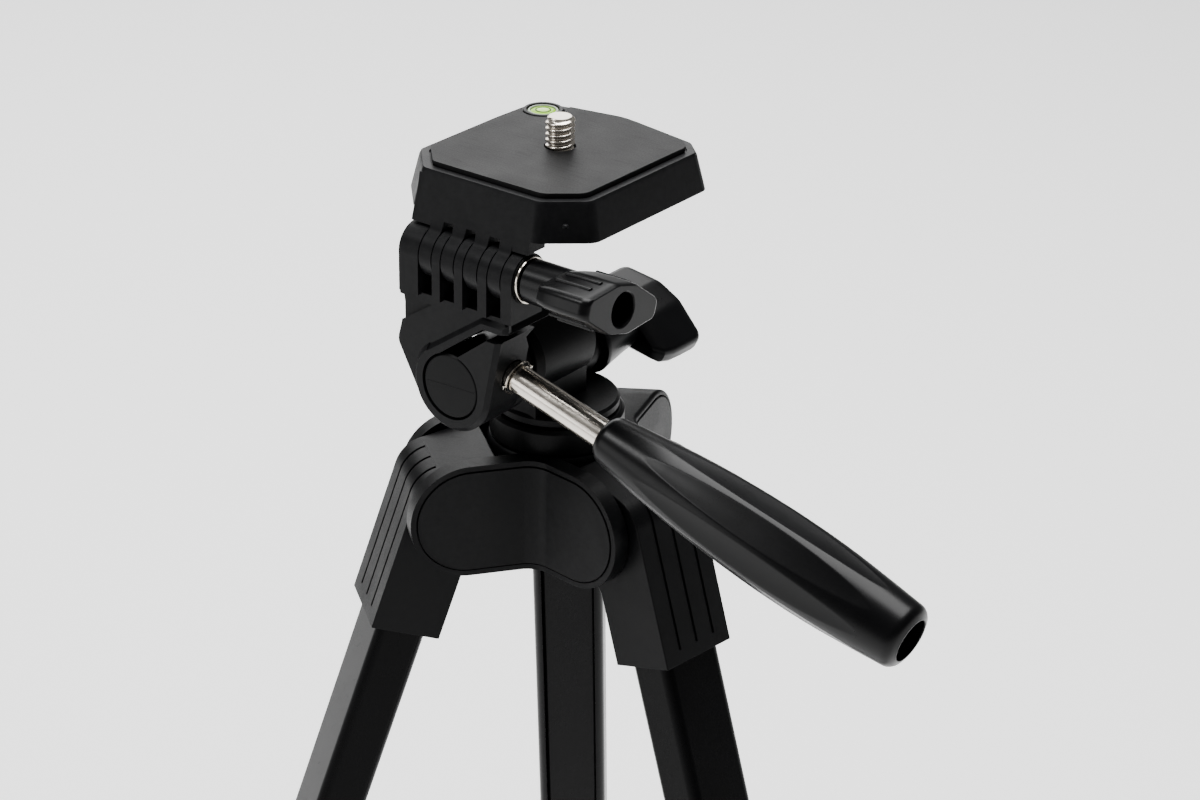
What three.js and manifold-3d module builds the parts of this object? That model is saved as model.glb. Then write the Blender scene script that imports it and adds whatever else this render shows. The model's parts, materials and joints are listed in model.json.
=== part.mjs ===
// Small folding tripod with a three-way head: quick-mount platform, flip hinge, split-clamp tilt,
// rotating pan base, three-legged hub and telescopic legs. Millimetres, +Z up, feet on z = 0.
// X runs along the handle, Y along the tilt axle. Heights in the head are measured down from the pad.
import * as THREE from 'three';
import { mergeVertices } from 'three/addons/utils/BufferGeometryUtils.js';
import Module from 'manifold-3d';

const wasm = await Module();
wasm.setup();

// ---------------------------------------------------------------- driving dimensions
const GAP = 0.3;
const LOBE_STEPS = 13;
// Nearest and furthest reach of a cheek's side outline from its leg's centre plane.
const LOBE_SPAN = [2, 27];
const PAD_TOP = 388;
const RIGHT_ANGLE = Math.PI / 2;

const PLATFORM = { padThick: 1.4, rim: 1.6, topDrop: 1.0, skirtDrop: 9.2, flare: 2.2, wall: 2.2, roof: 2.6 };
const SCREW = { radius: 3.15, rise: 6.6, wheelRadius: 8.5, wheelDrop: 8.4, wheelThick: 3.4 };
const LEVEL = { x: -16.4, y: 15, radius: 3.7, deep: 1.8, vialRadius: 2.6 };

const FLIP = { y: -26.9, drop: 17.9, radius: 5.5, pinRadius: 2.2 };
const KNUCKLES = [[-16.8, -11.65], [-7.9, -5.75], [-1.95, 0.25], [4.25, 6.6], [10.35, 13.1]];
const FINGERS = [[-11.35, -8.2], [-5.45, -2.25], [0.55, 3.95], [6.9, 10.05]];

const TILT = { x: -3.2, drop: 44.9, axleRadius: 7.2, bossRadius: 10.1, front: -32.3, back: -18.3 };
const SHOULDER_DROP = 26.1;

const ROD = { x: 7.5, drop: 41.2, y: -25.3, radius: 3.1, slope: THREE.MathUtils.degToRad(15.5), bare: 25.3 };
const GRIP = { length: 78, startRadius: 5.1, fullRadius: 9, endRadius: 6.8, holeRadius: 4.7, holeDeep: 12 };

const PAN = { discRadius: 13.6, discTop: 57.0, discBottom: 59.2, postRadius: 6, barrelRadius: 9.6,
  barrelFront: -13.7, barrelBack: 5.6, pillarHalf: 7.4, lockDrop: 51.7, lockRadius: 5.2, lockBack: 11.7 };
const KNOB = { stemRadius: 4.65, wingHalf: 12.6, wingThick: 10.6, wingDeep: 14.5, holeRadius: 3.7, holeDeep: 9 };

const COLLAR = { radius: 14.75, top: 59.6, bottom: 65.6 };
const HUB = { coreRadius: 13.3, top: 65.9, bottom: 92.5, deckRadius: 15.2, deckThick: 2.2 };
const NUT = { radius: 5.6, bottom: 95.4, chamfer: 0.6, studRadius: 3.4 };
// Headings of the three legs in degrees, and the first one again a turn later.
const LEG_HEADINGS = [-7, 123.5, 233, 353];
const LEG = { splay: THREE.MathUtils.degToRad(18.4), pivotRadius: 22, pivotDrop: 79.5, pinRadius: 2.3,
  centre: 5.3 };
const CHEEK = { inner: 10.3, bend: 6, reach: 45, thick: 2.4, lobe: 12.3, coverThick: 1.3, coverLobe: 11 };
// Turn of each cheek's outer face away from its second leg, in degrees; the first cheek is wedge-shaped.
const CHEEK_FLARES = [16.5, 0, 0];
const SOCKET = { halfWidth: 9.9, outer: 13, inner: -2.8, end: -30.5, tubeTop: -8 };

const UPPER = { width: 16.8, depth: 11.2, corner: 2.2, wall: 1.1, slot: 10, top: -8.4, end: -248 };
const MIDDLE = { width: 13.8, depth: 8.2, corner: 1.6, wall: 1.0, slot: 7, top: -20, end: -281 };
const LOWER = { width: 11.2, depth: 5.6, corner: 1.2, wall: 1.0, slot: 4, top: -32, end: -306 };
const UPPER_LOCK = { width: 21.2, depth: 15.6, top: -232, end: -262 };
const LOWER_LOCK = { width: 18, depth: 12.6, top: -265, end: -293 };
const LOCK_LEVER = { thick: 3.2, inset: 3, reach: 4.5 };
const FOOT = { width: 15.4, depth: 11, top: -297, length: 40 };

// ---------------------------------------------------------------- materials
const finish = (color, roughness, metalness = 0) =>
  new THREE.MeshStandardMaterial({ color, roughness, metalness });
const blackPlastic = () => finish(0x232427, 0.55);
const glossPlastic = () => finish(0x18191c, 0.35);
const padRubber = () => finish(0x1b1b1d, 0.85);
const blackTube = () => finish(0x1d1e20, 0.35, 0.7);
const nickel = () => finish(0xb9b2a6, 0.25, 1);
const greenVial = () => finish(0xb4c832, 0.2);

// ---------------------------------------------------------------- shape helpers
const height = (drop) => PAD_TOP - drop;
const tripod = new THREE.Group();

// Polygon with rounded corners: each corner is [x, y, radius].
function roundedOutline(corners, stepsPerCorner = 3) {
  const points = [];
  corners.forEach(([x, y, radius], index) => {
    const corner = new THREE.Vector2(x, y);
    const before = corners[(index + corners.length - 1) % corners.length];
    const after = corners[(index + 1) % corners.length];
    if (!radius) {
      points.push(corner);
      return;
    }
    const toBefore = new THREE.Vector2(before[0] - x, before[1] - y).normalize();
    const toAfter = new THREE.Vector2(after[0] - x, after[1] - y).normalize();
    const halfAngle = Math.acos(THREE.MathUtils.clamp(toBefore.dot(toAfter), -1, 1)) / 2;
    const reach = radius / Math.tan(halfAngle);
    const start = corner.clone().addScaledVector(toBefore, reach);
    const end = corner.clone().addScaledVector(toAfter, reach);
    const centre = corner.clone().addScaledVector(
      toBefore.clone().add(toAfter).normalize(), radius / Math.sin(halfAngle));
    const from = Math.atan2(start.y - centre.y, start.x - centre.x);
    let sweep = Math.atan2(end.y - centre.y, end.x - centre.x) - from;
    sweep -= Math.round(sweep / (2 * Math.PI)) * 2 * Math.PI;
    for (let step = 0; step <= stepsPerCorner; step += 1) {
      const angle = from + sweep * step / stepsPerCorner;
      points.push(new THREE.Vector2(
        centre.x + radius * Math.cos(angle), centre.y + radius * Math.sin(angle)));
    }
  });
  return points;
}

function roundedBox(width, depth, corner, x = 0, y = 0) {
  const halfX = width / 2;
  const halfY = depth / 2;
  return roundedOutline([
    [x + halfX, y - halfY, corner], [x + halfX, y + halfY, corner],
    [x - halfX, y + halfY, corner], [x - halfX, y - halfY, corner]]);
}

// Moves every side of a counter-clockwise outline outwards by the same distance.
function grown(outline, distance) {
  return outline.map((point, index) => {
    const before = outline[(index + outline.length - 1) % outline.length];
    const after = outline[(index + 1) % outline.length];
    const one = point.clone().sub(before).normalize();
    const two = after.clone().sub(point).normalize();
    const normalOne = new THREE.Vector2(one.y, -one.x);
    const normalTwo = new THREE.Vector2(two.y, -two.x);
    const middle = normalOne.clone().add(normalTwo).normalize();
    return point.clone().addScaledVector(middle, distance / Math.max(0.5, middle.dot(normalOne)));
  });
}

// Closed skin over a stack of rings with the same number of points, capped at both ends.
function loft(rings) {
  const count = rings[0].length;
  const positions = rings.flat().flatMap((point) => [point.x, point.y, point.z]);
  const index = [];
  for (let ring = 0; ring + 1 < rings.length; ring += 1) {
    for (let side = 0; side < count; side += 1) {
      const a = ring * count + side;
      const b = ring * count + (side + 1) % count;
      index.push(a, b, b + count, a, b + count, a + count);
    }
  }
  const last = (rings.length - 1) * count;
  const flat = rings[0].map((point) => new THREE.Vector2(point.x, point.y));
  for (const [a, b, c] of THREE.ShapeUtils.triangulateShape(flat, [])) {
    index.push(c, b, a, last + a, last + b, last + c);
  }
  const geometry = new THREE.BufferGeometry();
  geometry.setAttribute('position', new THREE.Float32BufferAttribute(positions, 3));
  geometry.setIndex(index);
  return geometry;
}

const ringAt = (outline, z) => outline.map((point) => new THREE.Vector3(point.x, point.y, z));
const prism = (outline, low, high) => loft([ringAt(outline, low), ringAt(outline, high)]);

// Stack of [height, growth] levels over one outline.
const stacked = (outline, levels) =>
  loft(levels.map(([z, growth]) => ringAt(grown(outline, growth), z)));

// Stack of [height, scale along x, scale along y] levels over one outline.
const scaledStack = (outline, levels) => loft(levels.map(([z, scaleX, scaleY]) =>
  outline.map((point) => new THREE.Vector3(point.x * scaleX, point.y * scaleY, z))));

// An outline drawn as (y, z) and run along X, or drawn as (x, z) and run along Y.
const TURN_TO_X = new THREE.Matrix4().makeBasis(
  new THREE.Vector3(0, 1, 0), new THREE.Vector3(0, 0, 1), new THREE.Vector3(1, 0, 0));
const TURN_TO_Y = new THREE.Matrix4().makeRotationX(RIGHT_ANGLE);
const alongX = (outline, low, high) => prism(outline, low, high).applyMatrix4(TURN_TO_X);
const alongY = (outline, low, high) => prism(outline, -high, -low).applyMatrix4(TURN_TO_Y);

function bar(radius, from, to, sides = 24) {
  const start = new THREE.Vector3(...from);
  const end = new THREE.Vector3(...to);
  const axis = end.clone().sub(start);
  const turn = new THREE.Quaternion().setFromUnitVectors(
    new THREE.Vector3(0, 1, 0), axis.clone().normalize());
  return new THREE.CylinderGeometry(radius, radius, axis.length(), sides)
    .applyQuaternion(turn)
    .translate(...start.add(end).multiplyScalar(0.5).toArray());
}

// A profile of [radius, along] points turned about +Z.
const turned = (profile, sides = 24) => new THREE.LatheGeometry(
  profile.map(([radius, along]) => new THREE.Vector2(radius, along)), sides).rotateX(RIGHT_ANGLE);

// ---------------------------------------------------------------- solids
function solid(shape) {
  if (!(shape instanceof THREE.BufferGeometry)) return shape;
  const bare = shape.clone();
  bare.deleteAttribute('normal');
  bare.deleteAttribute('uv');
  const welded = mergeVertices(bare, 1e-4);
  const point = welded.getAttribute('position');
  const corners = welded.index.array;
  const triangles = [];
  let volume = 0;
  const [a, b, c] = [new THREE.Vector3(), new THREE.Vector3(), new THREE.Vector3()];
  for (let start = 0; start < corners.length; start += 3) {
    const [one, two, three] = corners.slice(start, start + 3);
    if (one === two || two === three || three === one) continue;
    triangles.push(one, two, three);
    a.fromBufferAttribute(point, one);
    b.fromBufferAttribute(point, two);
    c.fromBufferAttribute(point, three);
    volume += a.dot(b.cross(c));
  }
  if (volume < 0) triangles.reverse();
  const mesh = new wasm.Mesh({
    numProp: 3, vertProperties: new Float32Array(point.array), triVerts: new Uint32Array(triangles) });
  return new wasm.Manifold(mesh);
}

const join = (first, ...others) => others.reduce((whole, part) => whole.add(solid(part)), solid(first));
const cut = (first, ...tools) => tools.reduce((whole, tool) => whole.subtract(solid(tool)), solid(first));
const common = (first, second) => solid(first).intersect(solid(second));

function addPiece(parent, name, shape, material) {
  const mesh = solid(shape).getMesh();
  const geometry = new THREE.BufferGeometry();
  geometry.setAttribute('position', new THREE.Float32BufferAttribute(mesh.vertProperties, 3));
  geometry.setIndex(Array.from(mesh.triVerts));
  geometry.computeVertexNormals();
  const piece = new THREE.Mesh(geometry, material);
  piece.name = name;
  parent.add(piece);
}

const spot = (x, y, z) => ({ x, y, z });
const moved = (geometry, { x, y, z }) => geometry.translate(x, y, z);

// ---------------------------------------------------------------- platform
// Plan of the platform's top edge, counter-clockwise, with a shallow bow along the rear side.
function platformOutline(growth = 0) {
  const corners = [
    [-15.6, -25.6, 1.5], [14.8, -25.6, 1.5], [22.7, -18.9, 1.5], [22.7, 17.2, 2.5], [18.6, 21, 2.5],
    [0, 24.3, 12], [-16, 21.4, 4], [-22.3, 16.8, 4], [-22.8, 7, 3], [-22.8, -18, 1.5]];
  const plan = grown(corners.map(([x, y]) => new THREE.Vector2(x, y)), growth);
  return roundedOutline(plan.map((point, index) => [point.x, point.y, corners[index][2]]), 3);
}

// Stack of [height, growth] levels over the platform's plan.
const platformStack = (levels) => loft(levels.map(([z, growth]) => ringAt(platformOutline(growth), z)));

function buildPlatform() {
  const top = height(PLATFORM.topDrop);
  const skirt = height(PLATFORM.skirtDrop);
  const body = platformStack([[skirt, PLATFORM.flare], [top - 0.8, 0.35], [top, 0]]);
  const hollow = platformStack([
    [skirt - 1, PLATFORM.flare + 0.2 - PLATFORM.wall], [top - PLATFORM.roof, -PLATFORM.wall]]);
  const padBed = prism(platformOutline(-PLATFORM.rim), height(PLATFORM.padThick), top + 1);
  const levelBed = bar(LEVEL.radius + GAP, [LEVEL.x, LEVEL.y, height(LEVEL.deep + GAP)],
    [LEVEL.x, LEVEL.y, top + 1]);
  const screwHole = bar(SCREW.radius + 0.4, [0, 0, skirt], [0, 0, top + 1]);
  const levelHousing = bar(LEVEL.radius + 1.6, [LEVEL.x, LEVEL.y, height(LEVEL.deep + 1.8)],
    [LEVEL.x, LEVEL.y, height(2)]);
  const web = fingerWeb();
  const fingers = FINGERS.map(([left, right]) => finger(left, right));
  const pinHole = bar(FLIP.pinRadius + GAP, [-20, FLIP.y, height(FLIP.drop)],
    [20, FLIP.y, height(FLIP.drop)], 16);
  const shell = cut(join(cut(body, hollow), levelHousing, web, ...fingers),
    padBed, levelBed, screwHole, pinHole);
  addPiece(tripod, 'platform_shell', shell, blackPlastic());

  const pad = cut(prism(platformOutline(-PLATFORM.rim - GAP), height(PLATFORM.padThick - GAP), height(0)),
    bar(SCREW.radius + 0.4, [0, 0, height(3)], [0, 0, height(-1)]),
    bar(LEVEL.radius + 1, [LEVEL.x, LEVEL.y, height(3)], [LEVEL.x, LEVEL.y, height(-1)]));
  addPiece(tripod, 'platform_pad', pad, padRubber());
}

// The skirt carries a thick web down to the hinge fingers.
function fingerWeb() {
  const side = [[-28.8, 12.0], [-22.6, 12.0], [-22.6, 2], [-26, 2]]
    .map(([y, drop]) => new THREE.Vector2(y, height(drop)));
  return alongX(side, -16.6, 14.2);
}

function finger(left, right) {
  const axisZ = height(FLIP.drop);
  const neck = [
    new THREE.Vector2(FLIP.y - FLIP.radius + 0.2, axisZ), new THREE.Vector2(FLIP.y + 4.3, axisZ),
    new THREE.Vector2(FLIP.y + 4.3, height(11)), new THREE.Vector2(-28.4, height(11))];
  return join(alongX(neck, left, right), bar(FLIP.radius, [left, FLIP.y, axisZ], [right, FLIP.y, axisZ]));
}

function buildLevel() {
  const floor = height(LEVEL.deep);
  const ring = cut(
    moved(turned([[0, 0], [LEVEL.radius, 0], [LEVEL.radius, LEVEL.deep - 0.5], [0, LEVEL.deep - 0.5]]),
      spot(LEVEL.x, LEVEL.y, floor)),
    bar(LEVEL.vialRadius + GAP, [LEVEL.x, LEVEL.y, floor + 0.5], [LEVEL.x, LEVEL.y, floor + 4]));
  addPiece(tripod, 'level_ring', ring, blackPlastic());
  const vial = turned([[0, 0], [LEVEL.vialRadius, 0], [LEVEL.vialRadius, 0.4], [LEVEL.vialRadius - 0.5, 0.7],
    [0, 0.9]]);
  addPiece(tripod, 'level_vial', moved(vial, spot(LEVEL.x, LEVEL.y, floor + 0.5 + GAP)), greenVial());
}

function buildMountScrew() {
  const wheelTop = height(SCREW.wheelDrop - SCREW.wheelThick);
  const tip = height(-SCREW.rise);
  const stud = turned([[0, height(SCREW.wheelDrop + 1)], [SCREW.radius - 0.6, height(SCREW.wheelDrop + 1)],
    [SCREW.radius, height(SCREW.wheelDrop)], [SCREW.radius, tip - 0.8], [SCREW.radius - 0.7, tip], [0, tip]]);
  addPiece(tripod, 'mount_screw', stud, nickel());
  const teeth = 12;
  const rim = Array.from({ length: teeth * 2 }, (_, index) => {
    const radius = SCREW.wheelRadius - (index % 2) * 0.5;
    const angle = Math.PI * index / teeth;
    return new THREE.Vector2(radius * Math.cos(angle), radius * Math.sin(angle));
  });
  const wheel = cut(prism(rim, height(SCREW.wheelDrop), wheelTop),
    bar(SCREW.radius + GAP, [0, 0, height(SCREW.wheelDrop + 1)], [0, 0, wheelTop + 1]));
  addPiece(tripod, 'screw_wheel', wheel, glossPlastic());
}

// ---------------------------------------------------------------- lock knobs
// A wing knob built about +Z: round stem, then a pointed-oval wing with a deep round hole in its end.
function wingKnob(stemLength) {
  const half = KNOB.wingHalf;
  const side = KNOB.wingThick / 2;
  const oval = roundedOutline([
    [half, -1.2, 1.1], [half, 1.2, 1.1], [3.4, side, 7], [-3.4, side, 7],
    [-half, 1.2, 1.1], [-half, -1.2, 1.1], [-3.4, -side, 7], [3.4, -side, 7]], 3);
  const start = stemLength;
  const wing = scaledStack(oval, [
    [start, 0.78, 0.7], [start + 2, 0.93, 0.88], [start + 4.5, 0.985, 0.97],
    [start + KNOB.wingDeep - 1, 1, 1], [start + KNOB.wingDeep, 0.95, 0.9]]);
  const stem = turned([[0, 0], [KNOB.stemRadius, 0], [KNOB.stemRadius, stemLength + 3], [0, stemLength + 3]]);
  const hole = bar(KNOB.holeRadius, [0, 0, start + KNOB.wingDeep - KNOB.holeDeep],
    [0, 0, start + KNOB.wingDeep + 1], 16);
  return cut(join(stem, wing), hole);
}

function placed(shape, matrix) {
  return solid(shape).transform(matrix.elements);
}

// ---------------------------------------------------------------- flip hinge
function buildFlipHinge() {
  const axisZ = height(FLIP.drop);
  const left = KNUCKLES[0][0];
  const right = KNUCKLES[4][1];
  addPiece(tripod, 'flip_pin', bar(FLIP.pinRadius, [left + 1, FLIP.y, axisZ], [right - 0.4, FLIP.y, axisZ], 16),
    nickel());
  const washer = cut(bar(4.9, [right + GAP, FLIP.y, axisZ], [right + GAP + 0.7, FLIP.y, axisZ]),
    bar(FLIP.pinRadius, [right, FLIP.y, axisZ], [right + 2, FLIP.y, axisZ], 16));
  addPiece(tripod, 'flip_washer', washer, nickel());
  const roll = THREE.MathUtils.degToRad(-17);
  const frame = new THREE.Matrix4()
    .makeBasis(new THREE.Vector3(0, Math.cos(roll), Math.sin(roll)),
      new THREE.Vector3(0, -Math.sin(roll), Math.cos(roll)), new THREE.Vector3(1, 0, 0))
    .setPosition(right + 1.3, FLIP.y, axisZ);
  addPiece(tripod, 'flip_knob', placed(wingKnob(8.4), frame), glossPlastic());
}

// ---------------------------------------------------------------- tilt body
// Front outline of the hanging clamp body as (x, z), counter-clockwise.
function tiltOutline() {
  const { x } = TILT;
  const axisZ = height(TILT.drop);
  const points = roundedOutline([
    [11.9, height(SHOULDER_DROP), 0.8], [-17.6, height(SHOULDER_DROP), 0.8], [-17.0, height(30), 1],
    [-17.0, height(34), 1], [-18.2, height(38.5), 3], [x - 9.0, axisZ - 4.6, 0]], 3);
  const from = THREE.MathUtils.degToRad(207);
  const to = THREE.MathUtils.degToRad(346);
  const steps = 16;
  for (let step = 0; step <= steps; step += 1) {
    const angle = from + (to - from) * step / steps;
    points.push(new THREE.Vector2(
      x + TILT.bossRadius * Math.cos(angle), axisZ + TILT.bossRadius * Math.sin(angle)));
  }
  points.push(new THREE.Vector2(9.75, height(31.7)), new THREE.Vector2(11.9, height(29)));
  return points;
}

// The clamp's slot: level from the side face, then slanting down to the axle.
function clampSlot() {
  const outline = [[20, 29.3], [5.7, 29.3], [-7.5, 39.1], [-2.4, 38.6], [6.5, 31.7], [20, 31.7]]
    .map(([x, drop]) => new THREE.Vector2(x, height(drop)));
  return alongY(outline, TILT.front - 1, TILT.back + 1);
}

function knuckle(left, right) {
  const axisZ = height(FLIP.drop);
  const low = height(SHOULDER_DROP + 2);
  const rib = [
    new THREE.Vector2(FLIP.y - FLIP.radius + 0.1, low), new THREE.Vector2(FLIP.y + 4.6, low),
    new THREE.Vector2(FLIP.y + 4.6, axisZ), new THREE.Vector2(FLIP.y - FLIP.radius + 0.1, axisZ)];
  return join(alongX(rib, left, right), bar(FLIP.radius, [left, FLIP.y, axisZ], [right, FLIP.y, axisZ]));
}

function rodDirection() {
  return new THREE.Vector3(Math.cos(ROD.slope), 0, -Math.sin(ROD.slope));
}

function rodPoint(along) {
  return rodDirection().multiplyScalar(along).add(new THREE.Vector3(ROD.x, ROD.y, height(ROD.drop))).toArray();
}

function buildTiltBody() {
  const axisZ = height(TILT.drop);
  const block = alongY(tiltOutline(), TILT.front, TILT.back);
  const bore = bar(TILT.axleRadius + GAP, [TILT.x, TILT.front - 1, axisZ], [TILT.x, TILT.back + 1, axisZ], 32);
  const rodHole = bar(ROD.radius + GAP, rodPoint(-2.6), rodPoint(8), 16);
  const pinHole = bar(FLIP.pinRadius + GAP, [KNUCKLES[0][0] + 0.6, FLIP.y, height(FLIP.drop)],
    [20, FLIP.y, height(FLIP.drop)], 16);
  const body = cut(join(block, ...KNUCKLES.map(([left, right]) => knuckle(left, right))),
    bore, clampSlot(), rodHole, pinHole);
  addPiece(tripod, 'tilt_body', body, blackPlastic());
}

function buildHandle() {
  const washerOuter = bar(4.3, rodPoint(1.5), rodPoint(2.3));
  const washer = cut(washerOuter, bar(ROD.radius + GAP, rodPoint(1), rodPoint(3), 16));
  addPiece(tripod, 'rod_washer', washer, nickel());
  addPiece(tripod, 'handle_rod', bar(ROD.radius, rodPoint(-2.2), rodPoint(ROD.bare + 19), 16), nickel());

  const { length } = GRIP;
  const bore = ROD.radius + GAP;
  const swell = [[GRIP.startRadius - 0.5, 0], [GRIP.startRadius, 0.8], [5.9, 7.5], [7.4, 18.5], [8.5, 30],
    [GRIP.fullRadius, 42], [8.9, 54], [8.2, 65], [7.3, 74], [GRIP.endRadius, length - 0.8],
    [GRIP.endRadius - 0.7, length]];
  const profile = [[0, 20], [bore, 20], [bore, 0], ...swell,
    [GRIP.holeRadius, length], [GRIP.holeRadius, length - GRIP.holeDeep], [0, length - GRIP.holeDeep]];
  const turn = new THREE.Quaternion().setFromUnitVectors(new THREE.Vector3(0, 0, 1), rodDirection());
  const grip = turned(profile, 28).applyQuaternion(turn).translate(...rodPoint(ROD.bare));
  addPiece(tripod, 'handle_grip', grip, glossPlastic());
}

// ---------------------------------------------------------------- pan base
function buildPanBase() {
  const axisZ = height(TILT.drop);
  const barrel = bar(PAN.barrelRadius, [TILT.x, PAN.barrelFront, axisZ], [TILT.x, PAN.barrelBack, axisZ], 36);
  const left = TILT.x - PAN.pillarHalf;
  const right = TILT.x + PAN.pillarHalf;
  const foot = height(PAN.discTop + 0.5);
  const pillar = alongY([new THREE.Vector2(left, foot), new THREE.Vector2(right, foot),
    new THREE.Vector2(right, axisZ), new THREE.Vector2(left, axisZ)], PAN.barrelFront + 0.8, PAN.barrelBack - 0.8);
  const lockBoss = bar(PAN.lockRadius, [TILT.x, 0, height(PAN.lockDrop)],
    [TILT.x, PAN.lockBack, height(PAN.lockDrop)]);
  const disc = turned([[0, height(PAN.discBottom)], [PAN.discRadius, height(PAN.discBottom)],
    [PAN.discRadius, height(PAN.discTop + 0.6)], [PAN.discRadius - 0.6, height(PAN.discTop)],
    [0, height(PAN.discTop)]], 32);
  const post = bar(PAN.postRadius, [0, 0, height(76)], [0, 0, height(58)]);
  addPiece(tripod, 'pan_base', join(barrel, pillar, disc, lockBoss, post), blackPlastic());
  addPiece(tripod, 'tilt_axle', bar(TILT.axleRadius, [TILT.x, TILT.front + 0.1, axisZ],
    [TILT.x, PAN.barrelFront - GAP, axisZ], 32), blackPlastic());
}

function buildPanKnob() {
  const lean = THREE.MathUtils.degToRad(-28);
  const frame = new THREE.Matrix4()
    .makeBasis(new THREE.Vector3(-Math.cos(lean), 0, -Math.sin(lean)),
      new THREE.Vector3(-Math.sin(lean), 0, Math.cos(lean)), new THREE.Vector3(0, 1, 0))
    .setPosition(TILT.x, PAN.lockBack + 0.6, height(PAN.lockDrop));
  const skirt = turned([[0, 2.6], [5.6, 2.6], [7.1, 3.2], [6.6, 4.2], [5.6, 6.2], [4.9, 9], [0, 9]]);
  addPiece(tripod, 'pan_knob', placed(join(wingKnob(15.2), skirt), frame), glossPlastic());
}

// ---------------------------------------------------------------- hub
function buildPanCollar() {
  const ring = cut(turned([[0, height(COLLAR.bottom)], [COLLAR.radius, height(COLLAR.bottom)],
    [COLLAR.radius, height(COLLAR.top + 0.7)], [COLLAR.radius - 0.7, height(COLLAR.top)],
    [0, height(COLLAR.top)]], 32),
  bar(PAN.postRadius + GAP, [0, 0, height(70)], [0, 0, height(50)]));
  addPiece(tripod, 'pan_collar', ring, blackPlastic());
}

const legAngle = (leg) => THREE.MathUtils.degToRad(LEG_HEADINGS[leg]);

// A point given by its distance along leg direction and its offset beside it, as (x, y).
function besideLeg(angle, along, beside) {
  return new THREE.Vector2(along * Math.cos(angle) - beside * Math.sin(angle),
    along * Math.sin(angle) + beside * Math.cos(angle));
}

// Corners of one upright face of a cheek: beside one leg, round the bend, then beside the next leg or
// flaring away from it.
function cheekFace(leg, offset, flare) {
  const one = legAngle(leg);
  const two = legAngle(leg + 1) - THREE.MathUtils.degToRad(flare);
  const bend = offset / Math.sin((two - one) / 2);
  return [besideLeg(one, CHEEK.reach, offset), besideLeg((one + two) / 2, bend, 0),
    besideLeg(two, CHEEK.reach, -offset)];
}

// V-shaped band between an inner and an outer face.
function cheekBand(innerFace, outerFace, low, high) {
  const corners = [...outerFace, ...innerFace.reverse()];
  const radii = [0, CHEEK.bend, 0, 0, CHEEK.bend, 0];
  const outline = roundedOutline(corners.map((corner, index) => [corner.x, corner.y, radii[index]]));
  return prism(THREE.ShapeUtils.area(outline) < 0 ? outline.reverse() : outline, low, high);
}

// Side view of one cheek lobe as a solid across the leg, on the side given by its sign.
function lobeAcross(angle, side, radius) {
  const low = height(LEG.pivotDrop) - radius;
  const pivot = LEG.pivotRadius;
  const outline = roundedOutline([[0, low, 0], [pivot, low, 0]])
    .concat(Array.from({ length: LOBE_STEPS }, (_, step) => {
      const turn = -RIGHT_ANGLE + Math.PI * (step + 0.5) / LOBE_STEPS;
      return new THREE.Vector2(pivot + radius * Math.cos(turn), low + radius + radius * Math.sin(turn));
    }))
    .concat([new THREE.Vector2(pivot, low + 2 * radius), new THREE.Vector2(0, low + 2 * radius)]);
  const [near, far] = LOBE_SPAN;
  return alongY(outline, side > 0 ? near : -far, side > 0 ? far : -near).rotateZ(angle);
}

function cheek(leg, innerFace, outerFace, radius) {
  const band = cheekBand(innerFace, outerFace, height(105), height(60));
  const lobes = join(lobeAcross(legAngle(leg), 1, radius), lobeAcross(legAngle(leg + 1), -1, radius));
  return common(band, lobes);
}

function hubCheek(leg) {
  return cheek(leg, cheekFace(leg, CHEEK.inner, 0),
    cheekFace(leg, CHEEK.inner + CHEEK.thick, CHEEK_FLARES[leg]), CHEEK.lobe);
}

function cheekCover(leg) {
  const inner = CHEEK.inner + CHEEK.thick + GAP;
  return cheek(leg, cheekFace(leg, inner, CHEEK_FLARES[leg]),
    cheekFace(leg, inner + CHEEK.coverThick, CHEEK_FLARES[leg]), CHEEK.coverLobe);
}

function pivotBar(leg, radius, halfLength) {
  const angle = legAngle(leg);
  const z = height(LEG.pivotDrop);
  const one = besideLeg(angle, LEG.pivotRadius, -halfLength);
  const two = besideLeg(angle, LEG.pivotRadius, halfLength);
  return bar(radius, [one.x, one.y, z], [two.x, two.y, z], 16);
}

function buildHub() {
  const outer = CHEEK.inner + CHEEK.thick;
  const core = bar(HUB.coreRadius, [0, 0, height(HUB.bottom)], [0, 0, height(HUB.top + 0.5)], 32);
  const deck = turned([[0, height(HUB.top + HUB.deckThick)],
    [HUB.deckRadius, height(HUB.top + HUB.deckThick)], [HUB.deckRadius, height(HUB.top + 0.6)],
    [HUB.deckRadius - 0.6, height(HUB.top)], [0, height(HUB.top)]], 32);
  const legs = [0, 1, 2];
  const body = cut(join(core, deck, ...legs.map(hubCheek)),
    bar(PAN.postRadius + GAP, [0, 0, height(78)], [0, 0, height(60)]),
    bar(4, [0, 0, height(HUB.bottom + 1)], [0, 0, height(HUB.bottom - 4)], 16),
    ...legs.map((leg) => pivotBar(leg, LEG.pinRadius + GAP, outer + 2)));
  addPiece(tripod, 'hub_body', body, blackPlastic());
  legs.forEach((leg) => {
    addPiece(tripod, `cheek_cover_${leg + 1}`, cheekCover(leg), blackPlastic());
    addPiece(tripod, `leg_pin_${leg + 1}`, pivotBar(leg, LEG.pinRadius, outer - 0.2), nickel());
  });
  const nutTop = height(HUB.bottom + GAP);
  const nut = turned([[0, height(NUT.bottom)], [NUT.radius - NUT.chamfer, height(NUT.bottom)],
    [NUT.radius, height(NUT.bottom - NUT.chamfer)], [NUT.radius, nutTop], [0, nutTop]], 6);
  const stud = bar(NUT.studRadius, [0, 0, height(NUT.bottom - NUT.chamfer)], [0, 0, height(HUB.bottom - 3.5)], 16);
  addPiece(tripod, 'hub_nut', join(nut, stud), nickel());
}

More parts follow.
